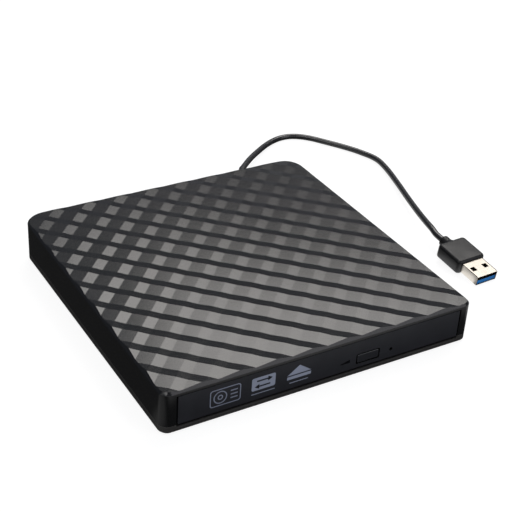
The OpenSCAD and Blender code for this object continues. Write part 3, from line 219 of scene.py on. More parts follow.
def piece(name: str, rings: list[Points], sharp_deg: float = 40.0) -> Thing:
    """Makes one object of closed surfaces, each given as rings of points.

    Doubles are merged, which closes the poles, and then the faces are turned outwards.

    Args:
        name: the object's name.
        rings: for each surface, an array of rings, points and coordinates.
        sharp_deg: fold between faces above which an edge stays sharp.

    Returns:
        The new object.
    """
    corners, faces, count = [], [], 0
    for surface in rings:
        corners.append(surface.reshape(-1, 3))
        faces.append(grid_faces(*surface.shape[:2]) + count)
        count += len(corners[-1])
    mesh = bpy.data.meshes.new(name)
    mesh.from_pydata(np.concatenate(corners).tolist(), [], np.concatenate(faces).tolist())
    work = bmesh.new()
    work.from_mesh(mesh)
    bmesh.ops.remove_doubles(work, verts=work.verts, dist=SAME_PLACE)
    bmesh.ops.dissolve_degenerate(work, edges=work.edges, dist=NO_LENGTH)
    bmesh.ops.recalc_face_normals(work, faces=work.faces)
    work.to_mesh(mesh)
    work.free()
    mesh.shade_smooth()
    mesh.set_sharp_from_angle(angle=math.radians(sharp_deg))
    return show(name, mesh)


def box_of(node: str) -> tuple[Points, Points]:
    """Lowest and highest corner of a solid at rest."""
    low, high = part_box(node)
    return np.array(low), np.array(high)


def corners_of(node: str) -> Points:
    """All points of a solid at rest.

    Args:
        node: the solid.

    Returns:
        Its points, one a row.
    """
    mesh = frame["nodes"][node].data
    flat = np.zeros(len(mesh.vertices) * 3, np.float32)
    mesh.vertices.foreach_get("co", flat)
    return flat.reshape(-1, 3).astype(float)


def middles_by_quarter(node: str) -> list[Points]:
    """Middle of each of a solid's four parts, one in each quarter of its plan.

    Args:
        node: a solid with one part in each quarter round its middle.

    Returns:
        Middle of each part's box.
    """
    low, high = box_of(node)
    points = corners_of(node)
    side = points[:, :2] > ((low + high) / 2)[:2]
    quarters = [(a, b) for a in (False, True) for b in (False, True)]
    parts = [points[(side[:, 0] == a) & (side[:, 1] == b)] for a, b in quarters]
    return [(p.min(axis=0) + p.max(axis=0)) / 2 for p in parts]


class Texture(Enum):
    """How a finish varies over its surface."""

    GRAINED = "spots of noise, drawn out where the metal is brushed"
    PRINTED = "lines under a solder mask"
    STRIPED = "stripes along a ribbon"


class Nodes:
    """A node tree, with short calls to add and join nodes."""

    def __init__(self, tree: bpy.types.NodeTree) -> None:
        """Starts with an empty tree."""
        self.tree = tree
        tree.nodes.clear()

    def add(self, kind: str, **settings: object) -> bpy.types.Node:
        """Adds a node.

        Args:
            kind: its type.
            settings: properties to set on it.

        Returns:
            The node.
        """
        made = self.tree.nodes.new(kind)
        for key, value in settings.items():
            setattr(made, key, value)
        return made

    def join(self, source: Socket, target: Socket) -> None:
        """Links two sockets."""
        self.tree.links.new(source, target)

    def seen(self) -> Socket:
        """Whether the camera sees this, straight or through clear plastic.

        Returns:
            A socket with one or nothing.
        """
        rays = self.add("ShaderNodeLightPath")
        either = self.add("ShaderNodeMath", operation="MAXIMUM")
        self.join(rays.outputs["Is Camera Ray"], either.inputs[0])
        self.join(rays.outputs["Is Transmission Ray"], either.inputs[1])
        return either.outputs[0]


class Shader(Nodes):
    """Node tree of one material, with the patterns that finishes are made of."""

    NOISE_MIDDLE = (0.3, 0.7)

    def __init__(self, material: bpy.types.Material) -> None:
        """Starts with an output and one principled shader.

        Args:
            material: the material, whose nodes are replaced.
        """
        material.use_nodes = True
        super().__init__(material.node_tree)
        self.output = self.add("ShaderNodeOutputMaterial")
        self.surface = self.add("ShaderNodeBsdfPrincipled")
        self.join(self.surface.outputs[0], self.output.inputs["Surface"])

    def place(self, stretch: Triple) -> Socket:
        """Object coordinates, stretched.

        Args:
            stretch: how many times each direction is drawn together.

        Returns:
            The coordinates' socket.
        """
        where = self.add("ShaderNodeTexCoord")
        mapping = self.add("ShaderNodeMapping")
        mapping.inputs["Scale"].default_value = stretch
        self.join(where.outputs["Object"], mapping.inputs["Vector"])
        return mapping.outputs["Vector"]

    def noise(self, size: float, stretch: Triple = WHITE, detail: float = 3.0) -> Socket:
        """Soft noise in Object coordinates.

        Args:
            size: size of its spots in metres.
            stretch: how many times each direction is drawn together.
            detail: octaves of finer noise.

        Returns:
            The noise value's socket.
        """
        made = self.add("ShaderNodeTexNoise")
        made.inputs["Scale"].default_value = 1 / size
        made.inputs["Detail"].default_value = detail
        self.join(self.place(stretch), made.inputs["Vector"])
        return made.outputs["Fac"]

    def spread(self, value: Socket, before: Pair, after: Pair, **settings: object) -> Socket:
        """Maps one range of a value onto another.

        Args:
            value: the value's socket.
            before: where its range starts and ends.
            after: what stands for those two.
            settings: properties of the node.

        Returns:
            The mapped value's socket.
        """
        made = self.add("ShaderNodeMapRange", **settings)
        for key, number in zip(("From Min", "From Max", "To Min", "To Max"), (*before, *after)):
            made.inputs[key].default_value = number
        self.join(value, made.inputs["Value"])
        return made.outputs["Result"]

    def between(self, share: Socket, one: Colour, other: Colour) -> Socket:
        """Colour between two others.

        Args:
            share: socket of the second colour's share.
            one: the first colour.
            other: the second colour.

        Returns:
            The colour's socket.
        """
        made = self.add("ShaderNodeMix", data_type="RGBA")
        made.inputs["A"].default_value = (*one, 1.0)
        made.inputs["B"].default_value = (*other, 1.0)
        self.join(share, made.inputs["Factor"])
        return made.outputs["Result"]

    def bump(self, height: Socket, depth: float, strength: float) -> None:
        """Gives the surface small relief.

        Args:
            height: socket of the relief's height.
            depth: the relief's depth in metres.
            strength: how much of it shows.
        """
        made = self.add("ShaderNodeBump")
        made.inputs["Strength"].default_value = strength
        made.inputs["Distance"].default_value = depth
        self.join(height, made.inputs["Height"])
        self.join(made.outputs["Normal"], self.surface.inputs["Normal"])


@dataclass(frozen=True)
class Finish:
    """One finish: its colour, gloss and fine texture.

    Sizes are in metres. Mottle is how far the roughness strays, tint how far the colour does, and lines how
    the grain is drawn out. The spots of gloss are the gloss share of the spots of colour. Pitch is the step
    of printed lines or stripes, track the share of it that a printed line takes, and track soft how soft the
    line's sides are.
    """

    name: str
    slot: str
    colour: Colour
    roughness: float
    metallic: float = 0.0
    specular: float = 0.5
    texture: Texture = Texture.GRAINED
    grain: float = 0.2 * MM
    depth: float = 0.01 * MM
    relief: float = 0.35
    mottle: float = 0.04
    mottle_size: float = 9 * MM
    tint: float = 0.12
    coat: float = 0.0
    coat_roughness: float = 0.12
    lines: Triple = WHITE
    line_colour: Colour = WHITE
    pitch: float = 9 * MM
    track: float = 0.035
    track_soft: float = 0.2
    gloss_share: float = 0.6

    def colour_share(self, shader: Shader) -> tuple[Socket, Colour, Colour]:
        """What mixes the finish's two colours.

        Args:
            shader: the material's nodes.

        Returns:
            The share's socket and the two colours.
        """
        dark = tuple(c * (1 - self.tint) for c in self.colour)
        light = tuple(min(1.0, c * (1 + self.tint)) for c in self.colour)
        if self.texture is Texture.GRAINED:
            mottle = shader.noise(self.mottle_size, self.lines)
            return shader.spread(mottle, Shader.NOISE_MIDDLE, (0, 1)), dark, light
        if self.texture is Texture.PRINTED:
            made = shader.add("ShaderNodeTexBrick")
            made.inputs["Mortar Size"].default_value = self.track
            made.inputs["Mortar Smooth"].default_value = self.track_soft
        else:
            made = shader.add("ShaderNodeTexWave", bands_direction="X", wave_profile="SIN")
        made.inputs["Scale"].default_value = 1 / self.pitch
        shader.join(shader.place(WHITE), made.inputs["Vector"])
        return made.outputs["Fac"], dark, self.line_colour

    def material(self) -> bpy.types.Material:
        """The finish as a material, made once.

        Returns:
            The material.
        """
        found = bpy.data.materials.get(self.name)
        if found:
            return found
        made = bpy.data.materials.new(self.name)
        shader = Shader(made)
        surface = shader.surface.inputs
        surface["Metallic"].default_value = self.metallic
        surface["Specular IOR Level"].default_value = self.specular
        surface["Coat Weight"].default_value = self.coat
        surface["Coat Roughness"].default_value = self.coat_roughness
        shader.join(shader.between(*self.colour_share(shader)), surface["Base Color"])
        gloss = shader.noise(self.mottle_size * self.gloss_share, self.lines, detail=4.0)
        range_of_gloss = (self.roughness - self.mottle, self.roughness + self.mottle)
        shader.join(shader.spread(gloss, Shader.NOISE_MIDDLE, range_of_gloss), surface["Roughness"])
        shader.bump(shader.noise(self.grain, self.lines), self.depth, self.relief)
        return made


class Finishes:
    """Every finish of the object."""

    case = Finish(
        "case_satin", "case_plastic", (0.0078, 0.008, 0.0086), 0.2, grain=0.6 * MM, depth=0.0006 * MM,
        mottle=0.012, mottle_size=30 * MM, tint=0.1)
    base = Finish("base_satin", "base_plastic", (0.045, 0.043, 0.041), 0.45, grain=0.3 * MM)
    panel = Finish(
        "panel_satin", "panel_plastic", (0.0265, 0.0275, 0.0325), 0.42, specular=0.25, depth=0.012 * MM)
    button = Finish("button_satin", "panel_plastic", (0.0225, 0.0235, 0.028), 0.36, specular=0.25)
    # Worn edge finish, lighter and far glossier than the panel: wear and a painted highlight along the
    # rounds.
    edge = Finish(
        "worn_highlight_edge", "panel_plastic", (0.03, 0.031, 0.036), 0.26, specular=0.8, depth=0.004 * MM)
    tray = Finish(
        "tray_satin", "tray_plastic", (0.024, 0.024, 0.026), 0.4, grain=0.25 * MM, depth=0.014 * MM)
    rubber = Finish("soft_rubber", "rubber", (0.016, 0.016, 0.016), 0.75, specular=0.3)
    cord = Finish(
        "cord_jacket", "rubber", (0.013, 0.013, 0.014), 0.28, specular=0.72, grain=0.4 * MM,
        depth=0.006 * MM)
    grip = Finish("grip_satin", "rubber", (0.011, 0.011, 0.012), 0.36, specular=0.24, depth=0.006 * MM)
    sheet = Finish(
        "zinc_sheet", "sheet_steel", (0.55, 0.56, 0.58), 0.36, metallic=1.0, grain=0.15 * MM,
        depth=0.003 * MM, mottle=0.07, tint=0.08, lines=(1.0, 0.05, 1.0))
    rail = Finish(
        "drawn_steel", "sheet_steel", (0.6, 0.6, 0.61), 0.28, metallic=1.0, grain=0.1 * MM,
        depth=0.003 * MM, lines=(1.0, 0.03, 1.0))
    dull = Finish(
        "dull_steel", "sheet_steel", (0.2, 0.2, 0.205), 0.52, metallic=1.0, grain=0.15 * MM,
        depth=0.006 * MM, mottle=0.05, tint=0.1, lines=(0.05, 1.0, 1.0))
    screw = Finish(
        "plated_screw", "screw_steel", (0.4, 0.4, 0.41), 0.3, metallic=1.0, grain=0.1 * MM,
        depth=0.003 * MM)
    nickel = Finish(
        "bright_nickel", "nickel", (0.344, 0.321, 0.287), 0.3, metallic=1.0, grain=0.12 * MM,
        depth=0.002 * MM, tint=0.03, lines=(1.0, 0.08, 1.0))
    brass = Finish(
        "plain_brass", "brass", (0.78, 0.58, 0.26), 0.27, metallic=1.0, grain=0.1 * MM, depth=0.003 * MM)
    coil = Finish(
        "coil_wire", "brass", (0.62, 0.3, 0.14), 0.34, metallic=1.0, grain=0.15 * MM, depth=0.02 * MM,
        lines=(1.0, 0.05, 1.0))
    board = Finish(
        "solder_mask", "board", (0.02, 0.13, 0.06), 0.34, texture=Texture.PRINTED,
        line_colour=(0.05, 0.26, 0.12), grain=0.5 * MM, coat=0.3)
    chip = Finish("chip_epoxy", "chip", (0.02, 0.02, 0.022), 0.55, grain=0.12 * MM, depth=0.012 * MM)
    dark = Finish("dark_moulding", "dark_plastic", (0.02, 0.02, 0.02), 0.48)
    white = Finish(
        "natural_moulding", "white_plastic", (0.68, 0.67, 0.63), 0.42, grain=0.25 * MM, tint=0.05)
    ribbon = Finish(
        "ribbon_film", "white_plastic", (0.62, 0.63, 0.64), 0.34, texture=Texture.STRIPED,
        line_colour=(0.36, 0.38, 0.42), grain=0.6 * MM, depth=0.005 * MM, pitch=3.2 * MM)
    blue = Finish("blue_carrier", "blue_plastic", (0.035, 0.29, 0.8), 0.55, specular=0.2, tint=0.06)
    window = Finish(
        "smoked_window", "clear_plastic", (0.004, 0.004, 0.005), 0.3, specular=0.06, grain=0.5 * MM,
        depth=0.002 * MM)
    light = Finish("light_body", "clear_plastic", (0.5, 0.62, 0.5), 0.2, grain=0.3 * MM, depth=0.003 * MM)
    lens = Finish(
        "coated_lens", "lens_plastic", (0.05, 0.1, 0.28), 0.06, coat=1.0, grain=0.6 * MM, depth=0.001 * MM)
    rotor = Finish("rotor_satin", "rotor_steel", (0.13, 0.13, 0.14), 0.4, metallic=0.6)
    # Near-black finish of painted shade, for the sides of openings, rims, folds and hollows.
    shade = Finish("inner_shade", "dark_plastic", (0.004, 0.004, 0.004), 0.6, specular=0.2)
    ink = Finish(
        "printed_ink", "white_plastic", (0.37, 0.41, 0.52), 0.5, grain=0.12 * MM, depth=0.004 * MM,
        tint=0.06)
    thin_ink = Finish(
        "thin_ink", "white_plastic", (0.28, 0.31, 0.4), 0.5, grain=0.12 * MM, depth=0.004 * MM,
        tint=0.06)


def dress(thing: Thing, finish: Finish) -> Thing:
    """Gives an object one finish.

    Args:
        thing: the object.
        finish: its finish.

    Returns:
        The same object.
    """
    thing.data.materials.clear()
    thing.data.materials.append(finish.material())
    return thing


def shade(thing: Thing, chosen: Callable[[Vector, Vector], bool]) -> None:
    """Paints some faces of an object near-black: painted shade of an opening.

    Args:
        thing: the object, with one finish so far.
        chosen: whether a face takes it, from its normal and its middle.
    """
    thing.data.materials.append(Finishes.shade.material())
    for face in thing.data.polygons:
        if chosen(face.normal, face.center):
            face.material_index = 1


def wear_and_highlight(thing: Thing) -> None:
    """Gives the rounds along an object's edges the worn finish, lighter and glossier than the face: wear and
    a painted highlight.
    """
    thing.data.materials.append(Finishes.edge.material())
    thing.modifiers["rounds"].material = len(thing.data.materials) - 1


@dataclass(frozen=True)
class Rounding:
    """How the outer edges of a solid are rounded: width in metres, fold in degrees.

    Folds of a face that looks up more than crisp_up stay sharp where the other face looks up too, as on a
    faceted roof.
    """

    width: float
    steps: int = 2
    fold: float = 28.0
    crisp_up: float = 2.0


@dataclass(frozen=True)
class Rounded:
    """One solid shown as a rounded copy: the solid, the copy's name, its finish and its rounding."""

    node: str
    name: str
    finish: Finish
    edges: Rounding
    merge: float = 1e-6
    flat_deg: float = 0.3
    least_fold: float = 0.01
    roof_lean: float = 0.5

    def mesh(self) -> bpy.types.Mesh:
        """Copy of the solid's mesh with its folds marked.

        Points closer than a micrometre are merged and flat neighbours become one face. An outward fold
        above the limit gets a bevel weight, and an inward one stays sharp.

        Returns:
            The new mesh.
        """
        made = bpy.data.meshes.new(self.name)
        work = bmesh.new()
        work.from_mesh(frame["nodes"][self.node].data)
        bmesh.ops.remove_doubles(work, verts=work.verts, dist=self.merge)
        flat = math.radians(self.flat_deg)
        bmesh.ops.dissolve_limit(work, angle_limit=flat, verts=work.verts, edges=work.edges)
        weight = work.edges.layers.float.new("bevel_weight_edge")
        limit = math.radians(self.edges.fold)
        for edge in work.edges:
            fold = edge.calc_face_angle_signed(0.0) if len(edge.link_faces) == 2 else 0.0
            ups = [f.normal.z for f in edge.link_faces]
            roof = max(ups) > self.edges.crisp_up and min(ups) > self.roof_lean
            crisp = roof and abs(fold) > self.least_fold
            edge[weight] = 1.0 if fold > limit and not crisp else 0.0
            edge.smooth = not crisp and fold > -limit
        for face in work.faces:
            face.smooth = True
        work.to_mesh(made)
        work.free()
        return made

    def build(self) -> Thing:
        """Makes the copy, which stands for the solid and rides where it rides.

        Normals are weighted by area, so that flat faces stay flat beside their rounds.

        Returns:
            The new object.
        """
        made = show(self.name, self.mesh())
        bevel = made.modifiers.new("rounds", "BEVEL")
        bevel.limit_method = "WEIGHT"
        bevel.width = self.edges.width
        bevel.segments = self.edges.steps
        bevel.loop_slide = False
        normals = made.modifiers.new("flat_faces", "WEIGHTED_NORMAL")
        normals.keep_sharp = True
        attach(made, body_of(frame["nodes"][self.node])[0])
        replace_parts(made, self.node)
        return dress(made, self.finish)


@dataclass(frozen=True)
class PlainSolids:
    """The solids that show as they are, by their finish."""

    rows: tuple[tuple[Finish, tuple[str, ...]], ...] = (
        (Finishes.rubber, ("rubber_bushes",)),
        (Finishes.rail, ("guide_rods",)),
        (Finishes.screw, (
            "lid_screws", "bridge_screws", "traverse_screws", "latch_post", "latch_pivot", "hub_balls")),
        (Finishes.brass, ("plug_contacts", "lead_screw")),
        (Finishes.board, ("main_board", "bridge_board", "tray_board")),
        (Finishes.white, ("switch_plunger",)),
        (Finishes.window, ("light_window",)),
        (Finishes.light, ("light_source",)),
        (Finishes.lens, ("lens",)),
    )

    def build(self) -> list[Thing]:
        """Gives each solid its finish."""
        return [dress(frame["nodes"][node], finish) for finish, nodes in self.rows for node in nodes]


@dataclass(frozen=True)
class PhotoCamera:
    """Camera at the photograph's viewing angle, in metres and degrees."""

    azimuth: float = -31.8278
    elevation: float = 31.5665
    roll: float = 3.7096
    place: Triple = (-0.22157, -0.37122, 0.28602)
    lens_mm: float = 82.774
    sensor_mm: float = 36.0
    reach: Pair = (0.01, 50.0)

    def build(self) -> list[Thing]:
        """Makes the scene's camera: back points away from the object, and right is turned by the roll.

        Returns:
            The camera.
        """
        a, e, r = (math.radians(x) for x in (self.azimuth, self.elevation, self.roll))
        back = Vector((math.sin(a) * math.cos(e), -math.cos(a) * math.cos(e), math.sin(e)))
        level = Vector((math.cos(a), math.sin(a), 0))
        right = level * math.cos(r) + back.cross(level) * math.sin(r)
        data = bpy.data.cameras.new("photo_camera")
        data.lens = self.lens_mm
        data.sensor_width = self.sensor_mm
        data.clip_start, data.clip_end = self.reach
        camera = show("photo_camera", data)
        turned = Matrix((right, back.cross(right), back)).transposed().to_4x4()
        camera.matrix_world = Matrix.Translation(self.place) @ turned
        bpy.context.scene.camera = camera
        return [camera]


@dataclass(frozen=True)
class Panel:
    """A soft lamp that faces the object, in metres and degrees.

    Its azimuth is from +Y towards +X, and its roll lifts its left end.
    """

    name: str
    azimuth: float
    elevation: float
    width: float
    height: float
    radiance: float
    colour: Colour = WHITE
    roll: float = 0.0
    distance: float = 2.5

    def build(self) -> Thing:
        """Makes the lamp, whose power is its radiance times pi times its area.

        Returns:
            The lamp.
        """
        data = bpy.data.lights.new(self.name, "AREA")
        data.shape = "RECTANGLE"
        data.size = self.width
        data.size_y = self.height
        data.energy = self.radiance * math.pi * self.width * self.height
        data.color = self.colour
        a, e = math.radians(self.azimuth), math.radians(self.elevation)
        away = Vector((math.sin(a) * math.cos(e), math.cos(a) * math.cos(e), math.sin(e)))
        facing = away.to_track_quat("Z", "Y").to_matrix().to_4x4()
        rolled = facing @ Matrix.Rotation(math.radians(self.roll), 4, "Z")
        lamp = show(self.name, data)
        lamp.matrix_world = Matrix.Translation(away * self.distance) @ rolled
        return lamp


@dataclass(frozen=True)
class Patch:
    """A round bright place on the floor that mirrors see.

    It is full inside its inner radius and gone past its outer one.
    """

    place: Triple
    inner: float
    outer: float
    glow: float


@dataclass(frozen=True)
class Studio:
    """White floor and room, soft lamps and plain view settings.

    What mirrors see of the floor is dim, apart from bright patches off to the right, two by the plug, one
    beside the front left corner and one out in front.
    """

    floor_half: float = 6.0
    floor_drop: float = 0.02 * MM
    floor_colour: Colour = (0.2, 0.2, 0.2)
    floor_roughness: float = 0.9
    floor_glow: float = 0.88
    mirrored_glow: float = 0.035
    patches: tuple[Patch, ...] = (
        Patch((0.6, -0.03, 0.0), 0.502, 0.522, 0.7),
        Patch((0.1038, -0.031, 0.0), 0.0063, 0.0079, 2.3),
        Patch((0.105, -0.019, 0.0), 0.01, 0.017, 1.8),
        Patch((-0.088, -0.07, 0.0), 0.008, 0.022, 0.3),
        Patch((0.02, -0.76, 0.0), 0.666, 0.678, 0.6),
    )
    room: Colour = (0.106, 0.116, 0.14)
    lamps: tuple[Panel, ...] = (
        Panel("key_panel", 50.0, 51.0, 1.9, 1.2, 5.05, (1.0, 0.972, 0.937), 9.0),
        Panel("corner_panel", -114.6, 56.0, 1.8, 0.8, 3.5, (1.0, 0.99, 0.98)),
        Panel("front_panel", 139.0, 48.0, 1.2, 1.2, 1.5, (0.98, 0.96, 1.0)),
        Panel("edge_panel", 148.0, 24.0, 1.6, 0.8, 2.0, (0.98, 0.98, 1.0)),
        Panel("fill_panel", 2.0, 45.0, 1.5, 1.2, 0.25),
        Panel("top_panel", 10.0, 75.0, 1.3, 1.3, 1.0),
        Panel("left_panel", -96.0, 26.0, 1.5, 0.8, 0.8),
        Panel("back_panel", 190.0, 28.0, 1.5, 0.8, 0.9),
        Panel("low_panel", 34.0, 12.5, 1.6, 0.3, 0.6),
    )

    def mirrored(self, shader: Shader) -> Socket:
        """Glow that mirrors see: the dim floor's or a patch's, which falls smoothly between its radii.

        Args:
            shader: the floor's nodes.

        Returns:
            The glow's socket.
        """
        where = shader.add("ShaderNodeTexCoord")
        level = shader.add("ShaderNodeValue").outputs[0]
        level.default_value = self.mirrored_glow
        for patch in self.patches:
            away = shader.add("ShaderNodeVectorMath", operation="DISTANCE")
            away.inputs[1].default_value = patch.place
            shader.join(where.outputs["Object"], away.inputs[0])
            fall = shader.spread(
                away.outputs["Value"], (patch.inner, patch.outer), (patch.glow, 0.0),
                interpolation_type="SMOOTHSTEP")
            both = shader.add("ShaderNodeMath", operation="MAXIMUM")
            shader.join(level, both.inputs[0])
            shader.join(fall, both.inputs[1])
            level = both.outputs[0]
        glow = shader.add("ShaderNodeEmission")
        shader.join(level, glow.inputs["Strength"])
        return glow.outputs[0]

    def floor_finish(self) -> bpy.types.Material:
        """The floor's material: matt, white to the camera and dim to mirrors.

        Returns:
            The material.
        """
        material = bpy.data.materials.new("studio_floor")
        shader = Shader(material)
        surface = shader.surface.inputs
        surface["Base Color"].default_value = (*self.floor_colour, 1.0)
        surface["Roughness"].default_value = self.floor_roughness
        surface["Specular IOR Level"].default_value = 0.0
        surface["Emission Color"].default_value = (*WHITE, 1.0)
        glow = shader.add("ShaderNodeMath", operation="MULTIPLY")
        glow.inputs[1].default_value = self.floor_glow
        shader.join(shader.seen(), glow.inputs[0])
        shader.join(glow.outputs[0], surface["Emission Strength"])
        both = shader.add("ShaderNodeMixShader")
        rays = shader.add("ShaderNodeLightPath")
        shader.join(rays.outputs["Is Glossy Ray"], both.inputs[0])
        shader.join(shader.surface.outputs[0], both.inputs[1])
        shader.join(self.mirrored(shader), both.inputs[2])
        shader.join(both.outputs[0], shader.output.inputs["Surface"])
        return material

    def floor(self) -> Thing:
        """Pale floor: a plain square that keeps the object's shadow.

        Returns:
            The floor.
        """
        half = self.floor_half
        mesh = bpy.data.meshes.new("studio_floor")
        square = ((-half, -half), (half, -half), (half, half), (-half, half))
        mesh.from_pydata([(x, y, -self.floor_drop) for x, y in square], [], [(0, 1, 2, 3)])
        mesh.materials.append(self.floor_finish())
        made = show("studio_floor", mesh)
        return made

    def world(self) -> None:
        """Dim even room light, and white where the camera looks past the floor."""
        world = bpy.data.worlds.new("studio_room")
        world.use_nodes = True
        nodes = Nodes(world.node_tree)
        colour = nodes.add("ShaderNodeMix", data_type="RGBA")
        colour.inputs["A"].default_value = (*self.room, 1.0)
        colour.inputs["B"].default_value = (*WHITE, 1.0)
        nodes.join(nodes.seen(), colour.inputs["Factor"])
        background = nodes.add("ShaderNodeBackground")
        output = nodes.add("ShaderNodeOutputWorld")
        nodes.join(colour.outputs["Result"], background.inputs["Color"])
        nodes.join(background.outputs[0], output.inputs["Surface"])
        bpy.context.scene.world = world

    def build(self) -> list[Thing]:
        """Makes the floor, the room and the lamps.

        Returns:
            The floor and the lamps.
        """
        self.world()
        bpy.context.scene.view_settings.view_transform = "Standard"
        return [self.floor(), *(lamp.build() for lamp in self.lamps)]


@dataclass(frozen=True)
class Plug:
    """The plug, in millimetres from the middle of its nose: y runs back along its axis to the cord.

    Its two roundings are in metres.
    """

    nose: Triple = (108.4, -39.9, 2.2338)
    yaw_deg: float = 3.3
    pitch_deg: float = 6.8731
    grip_y: Pair = (10.8, 26.8)
    grip_w: float = 16.0
    grip_h: float = 7.2
    corner_r: float = 2.0
    edge_r: float = 1.5
    edge_steps: int = 22
    ring_points: int = 96
    neck_sides: int = 48
    neck_l: float = 4.5
    neck_r: float = 2.7
    neck_root: float = -1.5
    neck_edge: float = 0.6
    neck_steps: int = 12
    swell_l: float = 1.6
    swell_h: float = 0.5
    shell_round: float = 0.13 * MM
    carrier_round: float = 0.12 * MM
    # Bars of painted shade along the shell's upper folds: half width, place, start and steps.
    shade_bar_half: float = 0.11
    shade_bar_x: float = 5.94
    shade_bar_z: float = 2.19
    shade_bar_start: float = 0.5
    shade_bar_steps: int = 12

    def axes(self) -> Points:
        """Unit directions across the plug, back along it and up from it.

        Returns:
            The three directions, one a row.
        """
        a, p = math.radians(self.yaw_deg), math.radians(self.pitch_deg)
        across = np.array([math.cos(a), math.sin(a), 0.0])
        along = np.array([-math.sin(a) * math.cos(p), math.cos(a) * math.cos(p), math.sin(p)])
        return np.stack([across, along, np.cross(across, along)])

    def placed(self, surfaces: list[Points]) -> list[Points]:
        """Surfaces turned into the plug's axes and moved to its nose, in metres."""
        return [(s @ self.axes() + np.array(self.nose)) * MM for s in surfaces]

    def grip(self) -> Points:
        """A box with round corners and edges.

        Each ring is a round rectangle, drawn in by the edge's radius less its cosine while it rises by its
        sine, under and over the straight side. A ring of no size closes each end.

        Returns:
            Rings of points.
        """
        turn = np.linspace(-QUARTER_TURN, QUARTER_TURN, self.edge_steps)
        inset = self.edge_r * (1 - np.cos(turn))
        height = self.edge_r * np.sin(turn) + np.sign(turn) * (self.grip_h / 2 - self.edge_r)
        low, high = self.grip_y
        count = self.ring_points
        rings = []
        for d, z in zip(inset, height):
            outline = round_rect(self.grip_w - 2 * d, high - low - 2 * d, self.corner_r - d, count)
            rings.append(np.column_stack([outline, np.full(count, z)]))
        rings = [rings[0] * UP, *rings, rings[-1] * UP]
        return np.stack(rings) + [0, (low + high) / 2, 0]

    def neck(self) -> Points:
        """A short tube about the axis: its radius swells where it leaves the grip, and its end is rounded.

        Returns:
            Rings of points.
        """
        rise = np.linspace(0, 1, self.neck_steps)
        swell = np.stack([rise * self.swell_l, self.neck_r + self.swell_h * (1 - rise) ** 2], axis=1)
        turn = rise * QUARTER_TURN
        end = np.array([self.neck_l, self.neck_r]) - self.neck_edge
        end = end + self.neck_edge * np.stack([np.sin(turn), np.cos(turn)], axis=1)
        root = [(self.neck_root, 0.0), (self.neck_root, self.neck_r + self.swell_h)]
        profile = np.concatenate([root, swell, end, [(self.neck_l, 0.0)]])
        return revolve(profile, ALONG * self.grip_y[1], ALONG, self.neck_sides)

    def fold_shade_bars(self) -> list[Points]:
        """A thin dark square bar along each upper side of the shell, from near the nose to the grip: painted
        shade along the fold.

        Returns:
            Rings of points for each bar.
        """
        square = np.array([(-1, -1), (1, -1), (1, 1), (-1, 1)]) * self.shade_bar_half
        along = np.linspace(self.shade_bar_start, self.grip_y[0], self.shade_bar_steps)[:, None] * ALONG
        return [sweep(along + [x, 0, self.shade_bar_z], square, UP) for x in (-self.shade_bar_x, self.shade_bar_x)]

    def build(self) -> list[Thing]:
        """Makes the moulded grip, the metal shell, the contact carrier and dark bars of painted shade on the
        shell's folds; the shell's rim and the carrier's top are painted shade too.

        Returns:
            The four pieces.
        """
        _, along, up = (Vector(row) for row in self.axes())
        body = dress(piece("plug_body", self.placed([self.grip(), self.neck()])), Finishes.grip)
        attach(body, "case")
        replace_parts(body, "plug_grip")
        shell = Rounded("plug_shell", "plug_sleeve", Finishes.nickel, Rounding(self.shell_round, 3)).build()
        # Painted shade: the shell's front rim, facing the nose, is near-black.
        shade(shell, lambda normal, _: normal.dot(along) < -FACING)
        thin = Rounding(self.carrier_round)
        carrier = Rounded("plug_tongue", "contact_carrier", Finishes.blue, thin).build()
        # Painted shade: the carrier's top, inside the shell, is near-black.
        shade(carrier, lambda normal, _: normal.dot(up) > FACING)
        # Painted shade: dark bars along the shell's upper folds.
        fold_shade = dress(piece("shell_fold_shade", self.placed(self.fold_shade_bars())), Finishes.shade)
        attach(fold_shade, "case")
        return [body, shell, carrier, fold_shade]


@dataclass(frozen=True)
class Relief:
    """Ribbed rubber relief where the cord leaves the case."""

    bore: float = 1.55 * MM
    wall: float = 1.8 * MM
    flange: float = 1.0 * MM
    root_r: float = 2.85 * MM
    tail_r: float = 2.0 * MM
    thinnest: float = 0.2 * MM
    grooves: int = 5
    groove_depth: float = 0.4 * MM
    groove_start: float = -1.2
    ribbed: Pair = (0.12, 0.95)
    steps: int = 91
    sides: int = 48

    def build(self) -> Thing:
        """Makes a taper whose radius dips in a groove at each of five places along it.

        Returns:
            The relief.
        """
        low, high = box_of("strain_relief")
        back = low[1] + self.wall + self.flange
        inner = -self.wall - self.flange
        length = high[1] - back
        flange_r = (high[0] - low[0]) / 2
        along = np.linspace(0, 1, self.steps)
        wave = np.clip(np.sin(along * self.grooves * WHOLE_TURN + self.groove_start), 0, 1) ** 2
        groove = wave * (along > self.ribbed[0]) * (along < self.ribbed[1])
        taper = self.root_r + (self.tail_r - self.root_r) * along - self.groove_depth * groove * (1 - along)
        taper = np.maximum(taper, self.bore + self.thinnest)
        inside = [(inner, self.bore), (inner, flange_r), (-self.wall, flange_r), (-self.wall, self.root_r)]
        outside = np.stack([along * length, taper], axis=1)
        profile = np.concatenate([inside, outside, [(length, self.bore), (inner, self.bore)]])
        centre = np.array([(low[0] + high[0]) / 2, back, (low[2] + high[2]) / 2])
        made = dress(piece("relief_sleeve", [revolve(profile, centre, ALONG, self.sides)]), Finishes.rubber)
        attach(made, "case")
        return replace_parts(made, "strain_relief")


